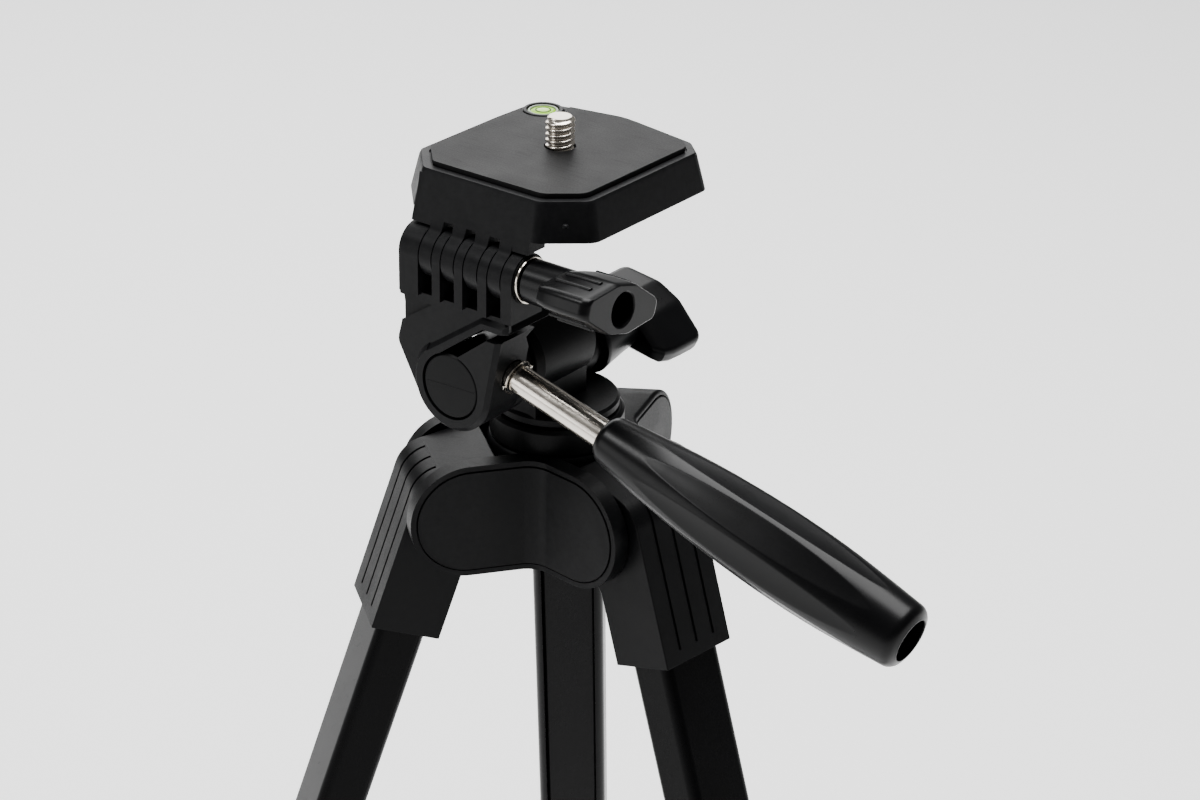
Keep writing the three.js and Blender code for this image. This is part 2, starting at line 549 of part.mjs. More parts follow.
// ---------------------------------------------------------------- legs
// Everything on a leg is drawn in the leg's own frame: origin on its pivot, +Y outwards, +Z up the leg.
function socketOutline() {
  const outline = roundedOutline([
    [SOCKET.outer, SOCKET.end, 0], [SOCKET.outer, 5.4, 8], [-1.9, 14.5, 0.6], [-3.2, 10.6, 0]], 6);
  for (let step = 0; step <= 8; step += 1) {
    const angle = THREE.MathUtils.degToRad(118 + (205 - 118) * step / 8);
    outline.push(new THREE.Vector2(8 * Math.cos(angle), 8 * Math.sin(angle)));
  }
  outline.push(new THREE.Vector2(SOCKET.inner, -14), new THREE.Vector2(SOCKET.inner, SOCKET.end));
  return outline;
}

function tubeOutline({ width, depth, corner }, growth) {
  return roundedBox(width + 2 * growth, depth + 2 * growth, corner + growth, 0, LEG.centre);
}

// Rounded channel, open along its inner side so the next section shows.
function channel(section) {
  const { width, depth, corner, wall, slot, top, end } = section;
  const inside = roundedBox(width - 2 * wall, depth - 2 * wall, Math.max(0.8, corner - wall), 0, LEG.centre);
  const innerSide = LEG.centre - depth / 2;
  const opening = roundedBox(slot, 4 * wall, 0.3, 0, innerSide);
  return cut(prism(tubeOutline(section, 0), end, top),
    prism(inside, end - 1, top + 1), prism(opening, end - 1, top + 1));
}

// Clamp housing round the end of one section, guiding the next one.
function lockHousing(lock, outer, inner) {
  const outline = roundedBox(lock.width, lock.depth, 4, 0, LEG.centre + 0.6);
  const levels = [[lock.end, -0.8], [lock.end + 0.8, 0], [lock.top - 0.8, 0], [lock.top, -0.8]];
  const face = LEG.centre + 0.6 + lock.depth / 2;
  const recess = roundedBox(lock.width, 2 * LOCK_LEVER.thick - 2.4, 0.2, -LOCK_LEVER.inset, face);
  return cut(stacked(outline, levels),
    prism(tubeOutline(outer, GAP), outer.end - GAP, lock.top + 1),
    prism(tubeOutline(inner, GAP), lock.end - 1, lock.top + 1),
    prism(recess, lock.end + LOCK_LEVER.reach, lock.top - LOCK_LEVER.reach));
}

// Flip lever: a flat cam plate across the housing's outer face, turning about its upright edge.
function lockLever(lock) {
  const face = LEG.centre + 0.6 + lock.depth / 2;
  const low = lock.end + LOCK_LEVER.reach + GAP;
  const high = lock.top - LOCK_LEVER.reach - GAP;
  const right = lock.width / 2 - LOCK_LEVER.inset - GAP;
  const plate = roundedOutline([
    [right, face - 1.6, 0.8], [right, face + 1.5, 1.4], [-lock.width / 2 - 1.2, face + 1.5, 1.2],
    [-lock.width / 2 - 1.2, face - 0.2, 0.4], [-lock.width / 2 + 0.6, face - 1.6, 0.6]], 4);
  return stacked(plate, [[low, -0.3], [low + 0.5, 0], [high - 0.5, 0], [high, -0.3]]);
}

function legFrame(leg) {
  const angle = legAngle(leg);
  const outwards = new THREE.Vector3(Math.cos(angle), Math.sin(angle), 0);
  const up = new THREE.Vector3(0, 0, 1);
  const alongUp = outwards.clone().multiplyScalar(-Math.sin(LEG.splay)).addScaledVector(up, Math.cos(LEG.splay));
  const face = outwards.clone().multiplyScalar(Math.cos(LEG.splay)).addScaledVector(up, Math.sin(LEG.splay));
  const across = face.clone().cross(alongUp);
  return new THREE.Matrix4().makeBasis(across, face, alongUp)
    .setPosition(outwards.x * LEG.pivotRadius, outwards.y * LEG.pivotRadius, height(LEG.pivotDrop));
}

function footSolid(frame) {
  const outline = roundedBox(FOOT.width, FOOT.depth, 4.5, 0, LEG.centre);
  const pad = stacked(outline, [
    [FOOT.top - FOOT.length, 0.6], [FOOT.top - 16, 0.6], [FOOT.top - 8, -0.4], [FOOT.top, -0.9]]);
  const socketed = cut(pad, prism(tubeOutline(LOWER, GAP), LOWER.end - GAP, FOOT.top + 1));
  const ground = moved(new THREE.BoxGeometry(600, 600, 100), spot(0, 0, -50));
  return cut(placed(socketed, frame), ground);
}

function buildLeg(leg) {
  const frame = legFrame(leg);
  const group = new THREE.Group();
  group.applyMatrix4(frame);
  tripod.add(group);
  const tag = leg + 1;
  const socket = cut(alongX(socketOutline(), -SOCKET.halfWidth, SOCKET.halfWidth),
    prism(tubeOutline(UPPER, GAP), SOCKET.end - 1, SOCKET.tubeTop),
    bar(LEG.pinRadius + GAP, [-20, 0, 0], [20, 0, 0], 16));
  addPiece(group, `leg_socket_${tag}`, socket, blackPlastic());
  addPiece(group, `upper_tube_${tag}`, channel(UPPER), blackTube());
  addPiece(group, `upper_lock_${tag}`, lockHousing(UPPER_LOCK, UPPER, MIDDLE), blackPlastic());
  addPiece(group, `upper_lever_${tag}`, lockLever(UPPER_LOCK), glossPlastic());
  addPiece(group, `middle_tube_${tag}`, channel(MIDDLE), blackTube());
  addPiece(group, `lower_lock_${tag}`, lockHousing(LOWER_LOCK, MIDDLE, LOWER), blackPlastic());
  addPiece(group, `lower_lever_${tag}`, lockLever(LOWER_LOCK), glossPlastic());
  addPiece(group, `lower_tube_${tag}`, channel(LOWER), blackTube());
  addPiece(tripod, `foot_${tag}`, footSolid(frame), padRubber());
}

// ---------------------------------------------------------------- assembly
buildPlatform();
buildLevel();
buildMountScrew();
buildFlipHinge();
buildTiltBody();
buildHandle();
buildPanBase();
buildPanKnob();
buildPanCollar();
buildHub();
[0, 1, 2].forEach(buildLeg);

// The middle of the footprint is the origin.
const footprint = new THREE.Box3().setFromObject(tripod, true).getCenter(new THREE.Vector3());
tripod.position.set(-footprint.x, -footprint.y, 0);

export default tripod;
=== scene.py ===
"""Looks of the small tripod with a three-way head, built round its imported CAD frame."""
import bpy
import bmesh
import json
import math
from collections import namedtuple
from mathutils import Matrix, Vector


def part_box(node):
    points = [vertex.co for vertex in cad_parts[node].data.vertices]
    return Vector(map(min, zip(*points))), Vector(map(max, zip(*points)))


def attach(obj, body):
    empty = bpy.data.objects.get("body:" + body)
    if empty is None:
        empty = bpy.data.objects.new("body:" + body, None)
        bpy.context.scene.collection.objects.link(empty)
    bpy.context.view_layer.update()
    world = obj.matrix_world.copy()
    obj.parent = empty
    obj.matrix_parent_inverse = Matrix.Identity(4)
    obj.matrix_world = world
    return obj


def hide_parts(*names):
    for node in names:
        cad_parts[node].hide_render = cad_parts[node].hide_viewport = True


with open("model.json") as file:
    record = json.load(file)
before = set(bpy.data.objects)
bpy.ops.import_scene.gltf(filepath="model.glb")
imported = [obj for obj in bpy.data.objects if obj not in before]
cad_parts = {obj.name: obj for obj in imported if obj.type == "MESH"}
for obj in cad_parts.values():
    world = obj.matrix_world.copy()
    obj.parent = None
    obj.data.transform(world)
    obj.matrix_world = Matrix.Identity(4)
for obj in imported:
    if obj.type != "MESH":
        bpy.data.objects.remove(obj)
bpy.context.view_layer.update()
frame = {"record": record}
joints = {joint["name"]: joint for joint in frame["record"]["behaviour"]["joints"]}

# ------------------------------------------------------------------ frames, all drawn in millimetres
MM = 0.001
LEGS = (1, 2, 3)
pan_axis = Vector(joints["pan_turn"]["pos_m"])
pad_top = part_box("platform_pad")[1][2]
# The head's own frame: pan axis at x = y = 0, pad top at z = 0.
HEAD = Matrix.Translation((pan_axis.x, pan_axis.y, pad_top)) @ Matrix.Scale(MM, 4)
# Turns that lay +Z along the head's +X, or against its +Y.
TO_X = Matrix(((0, 0, 1, 0), (1, 0, 0, 0), (0, 1, 0, 0), (0, 0, 0, 1)))
TO_Y = Matrix(((1, 0, 0, 0), (0, 0, -1, 0), (0, 1, 0, 0), (0, 0, 0, 1)))


def head_point(position):
    """A world position in metres, in the head's frame."""
    return HEAD.inverted() @ Vector(position)


def axes_frame(origin, x_axis, y_axis, z_axis):
    """Matrix of a millimetre frame standing at a world position."""
    turn = Matrix((x_axis, y_axis, z_axis)).transposed().to_4x4()
    return Matrix.Translation(origin) @ turn @ Matrix.Scale(MM, 4)


def leg_frame(leg):
    """Origin on the leg's pivot, +Y outwards, +Z up the leg."""
    across = Vector(joints[f"leg_fold_{leg}"]["axis"])
    up = -Vector(joints[f"middle_slide_{leg}"]["axis"])
    return axes_frame(joints[f"leg_fold_{leg}"]["pos_m"], across, up.cross(across), up)


TILT = head_point(joints["tilt"]["pos_m"])
FLIP = head_point(joints["platform_flip"]["pos_m"])
TILT_AXIS = Matrix.Translation((TILT.x, 0, TILT.z)) @ TO_Y
FLIP_AXIS = Matrix.Translation((0, FLIP.y, FLIP.z)) @ TO_X
ROD_DIRECTION = Vector(joints["handle_twist"]["axis"])
ROD_SIDE = Vector((0, 1, 0))
ROD = axes_frame(joints["handle_twist"]["pos_m"], ROD_SIDE.cross(ROD_DIRECTION), ROD_SIDE, ROD_DIRECTION)


# ------------------------------------------------------------------ outlines
def points(*corners):
    return [Vector(corner) for corner in corners]


def rounded(corners, steps):
    """Polygon with rounded corners; each corner is (x, y, radius)."""
    outline = []
    for index, (x, y, radius) in enumerate(corners):
        corner = Vector((x, y))
        if not radius:
            outline.append(corner)
            continue
        back = (Vector(corners[index - 1][:2]) - corner).normalized()
        ahead = (Vector(corners[(index + 1) % len(corners)][:2]) - corner).normalized()
        half = math.acos(max(-1, min(1, back.dot(ahead)))) / 2
        start = corner + back * radius / math.tan(half)
        end = corner + ahead * radius / math.tan(half)
        centre = corner + (back + ahead).normalized() * radius / math.sin(half)
        first = math.atan2(start.y - centre.y, start.x - centre.x)
        sweep = math.atan2(end.y - centre.y, end.x - centre.x) - first
        sweep -= round(sweep / math.tau) * math.tau
        for step in range(steps + 1):
            angle = first + sweep * step / steps
            outline.append(centre + Vector((math.cos(angle), math.sin(angle))) * radius)
    return outline


def rounded_box(width, depth, corner, x=0, y=0, steps=7):
    right, left = x + width / 2, x - width / 2
    far, near = y + depth / 2, y - depth / 2
    corners = [(right, near, corner), (right, far, corner), (left, far, corner), (left, near, corner)]
    return rounded(corners, steps)


def arc(radius, first, last, x, y, steps):
    """Points on an arc about a centre, between two angles in degrees."""
    angles = (math.radians(first + (last - first) * step / steps) for step in range(steps + 1))
    return [Vector((x + radius * math.cos(angle), y + radius * math.sin(angle))) for angle in angles]


def grown(outline, distance):
    """Every side of a counter-clockwise outline moved outwards."""
    sharpest = 0.5
    moved = []
    for index, point in enumerate(outline):
        one = (point - outline[index - 1]).normalized()
        two = (outline[(index + 1) % len(outline)] - point).normalized()
        normal = Vector((one.y, -one.x))
        middle = (normal + Vector((two.y, -two.x))).normalized()
        moved.append(point + middle * distance / max(sharpest, middle.dot(normal)))
    return moved


def polar(radius, angle, z=0):
    return Vector((radius * math.cos(angle), radius * math.sin(angle), z))


def circle(radius, z, sides):
    return [polar(radius, math.tau * side / sides, z) for side in range(sides)]


def ring_at(outline, z):
    return [Vector((point.x, point.y, z)) for point in outline]


# ------------------------------------------------------------------ solids
EDGE_ANGLE = math.radians(32)
SAME_POINT = 1e-5
ON_AXIS = 1e-4


def make(name, corners, faces):
    mesh = bpy.data.meshes.new(name)
    mesh.from_pydata([tuple(corner) for corner in corners], [], faces)
    made = bmesh.new()
    made.from_mesh(mesh)
    bmesh.ops.remove_doubles(made, verts=made.verts, dist=SAME_POINT)
    bmesh.ops.recalc_face_normals(made, faces=made.faces)
    made.to_mesh(mesh)
    made.free()
    piece = bpy.data.objects.new(name, mesh)
    bpy.context.scene.collection.objects.link(piece)
    return piece


def loft(rings, closed_ends=True):
    """Skin over rings with the same number of points."""
    count = len(rings[0])
    corners = [point for ring in rings for point in ring]
    faces = []
    for ring in range(len(rings) - 1):
        for side in range(count):
            one = ring * count + side
            two = ring * count + (side + 1) % count
            faces.append((one, two, two + count, one + count))
    if closed_ends:
        faces.append(tuple(reversed(range(count))))
        faces.append(tuple(range((len(rings) - 1) * count, len(rings) * count)))
    return make("solid", corners, faces)


def prism(outline, low, high):
    return loft([ring_at(outline, low), ring_at(outline, high)])


def stacked(outline, levels):
    """Outline grown by a given distance at each height."""
    return loft([ring_at(grown(outline, growth), z) for z, growth in levels])


def scaled_stack(outline, levels):
    """Outline scaled across and in thickness at each height."""
    rings = []
    for z, across, thick in levels:
        rings.append([Vector((point.x * across, point.y * thick, z)) for point in outline])
    return loft(rings)


def lathe(profile, sides=96):
    """A profile of (radius, z) turned about Z; it starts and ends on the axis, or returns to its start."""
    piece = loft([circle(radius, z, sides) for radius, z in profile], closed_ends=False)
    made = bmesh.new()
    made.from_mesh(piece.data)
    bmesh.ops.remove_doubles(made, verts=made.verts, dist=ON_AXIS)
    bmesh.ops.dissolve_degenerate(made, edges=made.edges, dist=ON_AXIS)
    bmesh.ops.recalc_face_normals(made, faces=made.faces)
    made.to_mesh(piece.data)
    made.free()
    return piece


def cylinder(radius, low, high, sides=96, x=0, y=0):
    return prism(arc(radius, 0, 360 - 360 / sides, x, y, sides - 1), low, high)


def box(low, high):
    """Plain block between two corners, for cutting and joining."""
    outline = points((low[0], low[1]), (high[0], low[1]), (high[0], high[1]), (low[0], high[1]))
    return prism(outline, low[2], high[2])


def put(piece, matrix):
    """Moves a piece's points, and leaves its object at the origin."""
    piece.data.transform(matrix)
    if matrix.determinant() < 0:
        piece.data.flip_normals()
    return piece


def along_x(outline, low, high):
    """An outline drawn as (y, z) and run along X."""
    return put(prism(outline, low, high), TO_X)


def along_y(outline, low, high):
    """An outline drawn as (x, z) and run along Y."""
    return put(prism(outline, -high, -low), TO_Y)


def applied(piece):
    """Writes a piece's modifiers into its mesh."""
    depsgraph = bpy.context.evaluated_depsgraph_get()
    mesh = bpy.data.meshes.new_from_object(piece.evaluated_get(depsgraph))
    piece.modifiers.clear()
    piece.data = mesh
    return piece


def combine(piece, tools, operation):
    for tool in tools:
        step = piece.modifiers.new("combine", "BOOLEAN")
        step.operation = operation
        step.solver = "EXACT"
        step.object = tool
        applied(piece)
        bpy.data.objects.remove(tool)
    return piece


def join(piece, *tools):
    return combine(piece, tools, "UNION")


def cut(piece, *tools):
    return combine(piece, tools, "DIFFERENCE")


def common(piece, *tools):
    return combine(piece, tools, "INTERSECT")


def softened(piece, width, segments=3):
    """Rounds every sharp edge, as a moulded part's edges are."""
    step = piece.modifiers.new("edges", "BEVEL")
    step.width = width
    step.segments = segments
    step.limit_method = "ANGLE"
    step.angle_limit = EDGE_ANGLE
    step.miter_outer = "MITER_ARC"
    return applied(piece)


def finished(piece, name, body, look, matrix, nodes=()):
    """Places a piece in the world, ties it to its body and material, and hides the CAD nodes it stands for.
    """
    slot, material = look
    put(piece, matrix)
    piece.name = name
    piece.data.materials.clear()
    piece.data.materials.append(material)
    for polygon in piece.data.polygons:
        polygon.use_smooth = True
    piece.data.set_sharp_from_angle(angle=EDGE_ANGLE)
    level = piece.modifiers.new("normals", "WEIGHTED_NORMAL")
    level.keep_sharp = True
    applied(piece)
    piece.data.name = name
    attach(piece, body)
    if nodes:
        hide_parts(*nodes)


# ------------------------------------------------------------------ materials
# How fine the mottling, the wear and the hairlines are, and how much each of them changes a surface.
MOTTLE_SCALE, WEAR_SCALE, HAIR_SCALE = 90, 700, 160
HAIR_STRETCH = (1, 14, 3)
SHADE_SPREAD = 0.14
MOTTLE_GLOSS, GRAIN_GLOSS = 0.03, 0.05
HAIR_DEPTH = 0.25
# Sharpness at which an edge starts to look worn, and at which it is fully worn.
EDGE_START, EDGE_FULL = 0.52, 0.62


def linked(tree, kind, **values):
    """New node with its sockets and settings set by name."""
    node = tree.nodes.new(kind)
    for key, value in values.items():
        if key in node.inputs:
            node.inputs[key].default_value = value
        else:
            setattr(node, key, value)
    return node


def fill(tree, socket, value):
    """Sets a socket to a plain value, or links it to another node's output."""
    if isinstance(value, tuple):
        socket.default_value = (*value, 1)
    elif isinstance(value, (int, float)):
        socket.default_value = value
    else:
        tree.links.new(value, socket)


def noise(tree, coordinates, scale, detail=3, roughness=0.55, stretch=None):
    vector = coordinates
    if stretch:
        mapping = linked(tree, "ShaderNodeMapping", Scale=stretch)
        tree.links.new(coordinates, mapping.inputs["Vector"])
        vector = mapping.outputs["Vector"]
    node = linked(tree, "ShaderNodeTexNoise", Scale=scale, Detail=detail, Roughness=roughness)
    tree.links.new(vector, node.inputs["Vector"])
    return node.outputs["Fac"]


def ramp(tree, value, low, high, dark, light):
    """Range from low to high spread over dark to light."""
    node = linked(tree, "ShaderNodeMapRange", **{
        "From Min": low, "From Max": high, "To Min": dark, "To Max": light})
    tree.links.new(value, node.inputs["Value"])
    return node.outputs["Result"]


def blend(tree, factor, one, two):
    node = linked(tree, "ShaderNodeMix", data_type="RGBA")
    tree.links.new(factor, node.inputs["Factor"])
    fill(tree, node.inputs["A"], one)
    fill(tree, node.inputs["B"], two)
    return node.outputs["Result"]


def total(tree, one, two, operation="ADD"):
    node = linked(tree, "ShaderNodeMath", operation=operation)
    fill(tree, node.inputs[0], one)
    fill(tree, node.inputs[1], two)
    return node.outputs["Value"]


def surface(name, color, rub, rough, grain, grain_depth, wear=0.35, metallic=0.0, scratch=0.05,
            stretch=None, coat=0.0, specular=0.5, uneven=1.0):
    """Moulded or plated surface: mottled colour, worn edges, uneven gloss, fine grain and hairlines."""
    material = bpy.data.materials.new(name)
    material.use_nodes = True
    tree = material.node_tree
    shader = tree.nodes["Principled BSDF"]
    place = tree.nodes.new("ShaderNodeTexCoord").outputs["Object"]
    mottled = ramp(tree, noise(tree, place, MOTTLE_SCALE, 4), 0.35, 0.65, 0, 1)
    darker = tuple(channel * (1 - SHADE_SPREAD) for channel in color)
    lighter = tuple(channel * (1 + SHADE_SPREAD) for channel in color)
    body = blend(tree, mottled, darker, lighter)
    sharpness = tree.nodes.new("ShaderNodeNewGeometry").outputs["Pointiness"]
    edge = ramp(tree, sharpness, EDGE_START, EDGE_FULL, 0, wear)
    worn = total(tree, edge, noise(tree, place, WEAR_SCALE), "MULTIPLY")
    tree.links.new(blend(tree, worn, body, rub), shader.inputs["Base Color"])
    fine = noise(tree, place, grain, 2, 0.6, stretch)
    hair = noise(tree, place, HAIR_SCALE, 2, 0.5, HAIR_STRETCH)
    mottle_gloss, grain_gloss = MOTTLE_GLOSS * uneven, GRAIN_GLOSS * uneven
    gloss = total(tree, ramp(tree, mottled, 0, 1, -mottle_gloss, mottle_gloss),
                  ramp(tree, fine, 0.3, 0.7, -grain_gloss, grain_gloss))
    gloss = total(tree, gloss, ramp(tree, hair, 0.55, 0.75, 0, scratch))
    tree.links.new(total(tree, gloss, rough), shader.inputs["Roughness"])
    bump = linked(tree, "ShaderNodeBump", Strength=1.0, Distance=grain_depth * MM)
    tree.links.new(total(tree, fine, total(tree, hair, HAIR_DEPTH, "MULTIPLY")), bump.inputs["Height"])
    tree.links.new(bump.outputs["Normal"], shader.inputs["Normal"])
    shader.inputs["Metallic"].default_value = metallic
    shader.inputs["Coat Weight"].default_value = coat
    shader.inputs["Specular IOR Level"].default_value = specular
    return material


def vial_material():
    """Green liquid with a painted glow: emission that stands in for light passing through it from all
    sides.
    """
    material = surface(
        "green_vial", color=(0.2, 0.42, 0.001), rub=(0.3, 0.5, 0.02), rough=0.12, grain=900,
        grain_depth=0.001, wear=0.1, specular=0.15)
    shader = material.node_tree.nodes["Principled BSDF"]
    # Painted glow: this emission stands in for light shining through the liquid; the vial is not a lamp.
    shader.inputs["Emission Color"].default_value = (0.3, 0.6, 0.001, 1)
    shader.inputs["Emission Strength"].default_value = 0.16
    return material


# Each look is the name of its slot and its material.
BLACK = "black_plastic", surface(
    "moulded_black", color=(0.0015, 0.0016, 0.0019), rub=(0.018, 0.018, 0.019), rough=0.42, grain=2600,
    grain_depth=0.012, specular=0.095)
SATIN = "black_plastic", surface(
    "satin_black", color=(0.0013, 0.0014, 0.0016), rub=(0.016, 0.016, 0.017), rough=0.38, grain=3400,
    grain_depth=0.008, specular=0.09)
GLOSS = "gloss_plastic", surface(
    "gloss_black", color=(0.001, 0.001, 0.0013), rub=(0.012, 0.012, 0.014), rough=0.3, grain=2600,
    grain_depth=0.0012, wear=0.12, scratch=0.015, specular=0.17, uneven=0.4)
RUBBER = "pad_rubber", surface(
    "pad_rubber", color=(0.0026, 0.0026, 0.0028), rub=(0.014, 0.014, 0.014), rough=0.56, grain=3000,
    grain_depth=0.02, wear=0.2, specular=0.15)
FOOT_RUBBER = "pad_rubber", surface(
    "foot_rubber", color=(0.005, 0.005, 0.0052), rub=(0.02, 0.02, 0.02), rough=0.7, grain=1800,
    grain_depth=0.03, wear=0.3, specular=0.2)
TUBE = "black_tube", surface(
    "black_tube", color=(0.0007, 0.0007, 0.0009), rub=(0.03, 0.03, 0.031), rough=0.25, grain=1600,
    grain_depth=0.001, wear=0.15, stretch=(5, 5, 0.4), scratch=0.03, specular=0.055, uneven=0.5)
NICKEL = "nickel", surface(
    "nickel", color=(0.66, 0.61, 0.54), rub=(0.8, 0.77, 0.72), rough=0.17, grain=900, grain_depth=0.001,
    metallic=1.0, stretch=(0.4, 5, 5), scratch=0.06)
DARK = "black_plastic", surface(
    "dark_recess", color=(0.0015, 0.0015, 0.0016), rub=(0.005, 0.005, 0.005), rough=0.6, grain=2200,
    grain_depth=0.01, wear=0.1, specular=0.1)
VIAL = "vial", vial_material()
BUBBLE = "vial", surface(
    "bubble", color=(0.36, 0.62, 0.08), rub=(0.5, 0.7, 0.2), rough=0.1, grain=900, grain_depth=0.001,
    wear=0.1, coat=0.2)
GLASS_RIM = "vial", surface(
    "pale_glass_rim", color=(0.16, 0.2, 0.13), rub=(0.3, 0.33, 0.25), rough=0.15, grain=900,
    grain_depth=0.001, wear=0.1)

# ------------------------------------------------------------------ platform and its hinge line
# Left and right end of every hinge finger of the platform and every knuckle of the clamp body.
FINGERS = ((-11.35, -8.2), (-5.45, -2.25), (0.55, 3.95), (6.9, 10.05))
KNUCKLES = ((-16.8, -11.65), (-7.9, -5.75), (-1.95, 0.25), (4.25, 6.6), (10.35, 13.1))
HINGE_LEFT, HINGE_RIGHT = KNUCKLES[0][0], KNUCKLES[-1][1]
HINGE_RADIUS = 5.5
HINGE_BORE = 2.5
# Top edge of the shell: x, y and corner radius.
PLATFORM_CORNERS = (
    (-15.6, -25.6, 2.5), (14.8, -25.6, 3.5), (22.7, -18.9, 3.5), (22.7, 17.2, 3), (18.6, 21, 3),
    (0, 24.3, 12), (-16, 21.4, 4), (-22.3, 16.8, 4), (-22.8, 7, 3), (-22.8, -18, 2))
SHELL_TOP = -1.0
SKIRT_FOOT, HINGE_SKIRT_FOOT = -9.2, -12
SKIRT_FLARE = 2.88
WEB_LEFT, WEB_RIGHT, WEB_BACK = -16.3, 14, -22.6
PAD_INSET, PAD_FOOT = -1.95, -1.1
LEDGE_INSET, LEDGE_TOP = -1.6, -1.4
SCREW_BORE = 3.4
LEVEL_X, LEVEL_Y = -16.4, 15
LEVEL_CLEARANCE = 4.7
# Reach of the cutting blocks past the whole platform.
CLEAR = 40


def platform_stack(levels):
    """The platform's plan, grown by a given distance at each height."""
    rings = []
    for z, growth in levels:
        plan = grown(points(*(corner[:2] for corner in PLATFORM_CORNERS)), growth)
        corners = [(point.x, point.y, corner[2]) for point, corner in zip(plan, PLATFORM_CORNERS)]
        rings.append(ring_at(rounded(corners, 6), z))
    return loft(rings)


def hinge_bar(radius, low, high, sides=96):
    return put(cylinder(radius, low, high, sides), FLIP_AXIS)


def hinge_finger(left, right):
    """Finger that flows out of the skirt and wraps the hinge pin."""
    root = -10.2
    front = points((-28.0, root), (-28.75, -12.4), (-30.4, -13.75))
    back = points((FLIP.y, FLIP.z), (FLIP.y + 4.3, FLIP.z), (FLIP.y + 4.3, root))
    return join(hinge_bar(HINGE_RADIUS, left, right), along_x(front + back, left, right))


def build_shell():
    shell = platform_stack([(HINGE_SKIRT_FOOT, SKIRT_FLARE), (SHELL_TOP - 0.75, 0.4), (SHELL_TOP, 0)])
    low = -20
    cut(shell, box((-CLEAR, -24.3, low), (CLEAR, CLEAR, SKIRT_FOOT)),
        box((WEB_RIGHT + 0.3, -CLEAR, low), (CLEAR, -24, SKIRT_FOOT)),
        box((-CLEAR, -CLEAR, low), (WEB_LEFT - 0.4, -24, SKIRT_FOOT)))
    hollow = platform_stack([(-14, 1.6), (-3.6, -2.2)])
    cut(shell, hollow)
    web = points((-28.0, HINGE_SKIRT_FOOT), (WEB_BACK, HINGE_SKIRT_FOOT), (WEB_BACK, -2), (-26, -2))
    rib = box((-1.4, -22.7, -8.4), (1.4, -9.5, -3))
    pip = put(lathe([(0, -0.5), (0.55, -0.35), (0.7, 0), (0.55, 0.35), (0, 0.5)], 24),
              Matrix.Translation((20.6, -24.4, -5.2)))
    level_seat = cylinder(5.3, -3.8, -2.2, 64, LEVEL_X, LEVEL_Y)
    join(shell, level_seat, along_x(web, WEB_LEFT, WEB_RIGHT), rib, pip)
    join(shell, *[hinge_finger(left, right) for left, right in FINGERS])
    gap = 0.2
    cut(shell, *[box((left - gap, -34, -14), (right + gap, -25.4, -10.5)) for left, right in KNUCKLES[1:4]])
    pad_well = platform_stack([(LEDGE_TOP, LEDGE_INSET), (0.5, LEDGE_INSET)])
    level_well = cylinder(4.0, -2.1, 1, 64, LEVEL_X, LEVEL_Y)
    cut(shell, pad_well, level_well, cylinder(SCREW_BORE, -12, 2, 64), hinge_bar(HINGE_BORE, -20, 20, 48))
    softened(shell, 0.4, 4)
    finished(shell, "shell", "platform", BLACK, HEAD, ["platform_shell"])


def build_pad():
    pad = platform_stack([(PAD_FOOT, PAD_INSET), (0, PAD_INSET)])
    low, high = -3, 2
    cut(pad, cylinder(SCREW_BORE, low, high, 64),
        cylinder(LEVEL_CLEARANCE, low, high, 64, LEVEL_X, LEVEL_Y),
        box((-30, LEVEL_Y + 2, low), (LEVEL_X + 3.6, 30, high)))
    softened(pad, 0.18)
    finished(pad, "pad", "platform", RUBBER, HEAD, ["platform_pad"])


def build_level():
    """Round bubble level; every profile is (radius, height) above the bottom of its well."""
    place = HEAD @ Matrix.Translation((LEVEL_X, LEVEL_Y, -1.8))
    ring = lathe([
        (0, 0), (3.6, 0), (3.7, 0.15), (3.7, 0.95), (4.35, 1.0), (4.4, 1.1), (4.4, 1.8), (4.25, 1.95),
        (3.65, 1.95), (3.5, 1.8), (3.5, 0.4), (0, 0.4)])
    finished(ring, "level_bezel", "platform", SATIN, place, ["level_ring"])
    rim = lathe([(2.75, 0.6), (3.4, 0.6), (3.4, 1.6), (3.2, 1.75), (2.9, 1.75), (2.75, 1.6), (2.75, 0.6)])
    finished(rim, "level_glass_rim", "platform", GLASS_RIM, place)
    vial = lathe([(0, 0.7), (2.7, 0.7), (2.7, 1.5), (2.5, 1.6), (1.8, 1.68), (1.0, 1.72), (0, 1.74)])
    finished(vial, "level_glass", "platform", VIAL, place, ["level_vial"])
    bubble = lathe([(0, 1.6), (1.1, 1.66), (1.3, 1.74), (0.9, 1.84), (0, 1.88)], 48)
    finished(bubble, "level_bubble", "platform", BUBBLE, place)
    mark = lathe([(1.5, 1.6), (1.72, 1.6), (1.72, 1.72), (1.5, 1.76), (1.5, 1.6)], 64)
    finished(mark, "level_mark", "platform", DARK, place)


# ------------------------------------------------------------------ mounting screw
THREAD_PITCH, THREAD_CREST, THREAD_ROOT = 1.27, 3.15, 2.55
SCREW_FOOT, SCREW_TIP = -9.3, 6.6
TIP_RADIUS, TIP_CHAMFER = 2.35, 0.55
THREAD_SIDES, ROWS_PER_TURN = 72, 20
WHEEL_RADIUS, WHEEL_TEETH, TOOTH_DEPTH = 8.5, 40, 0.45


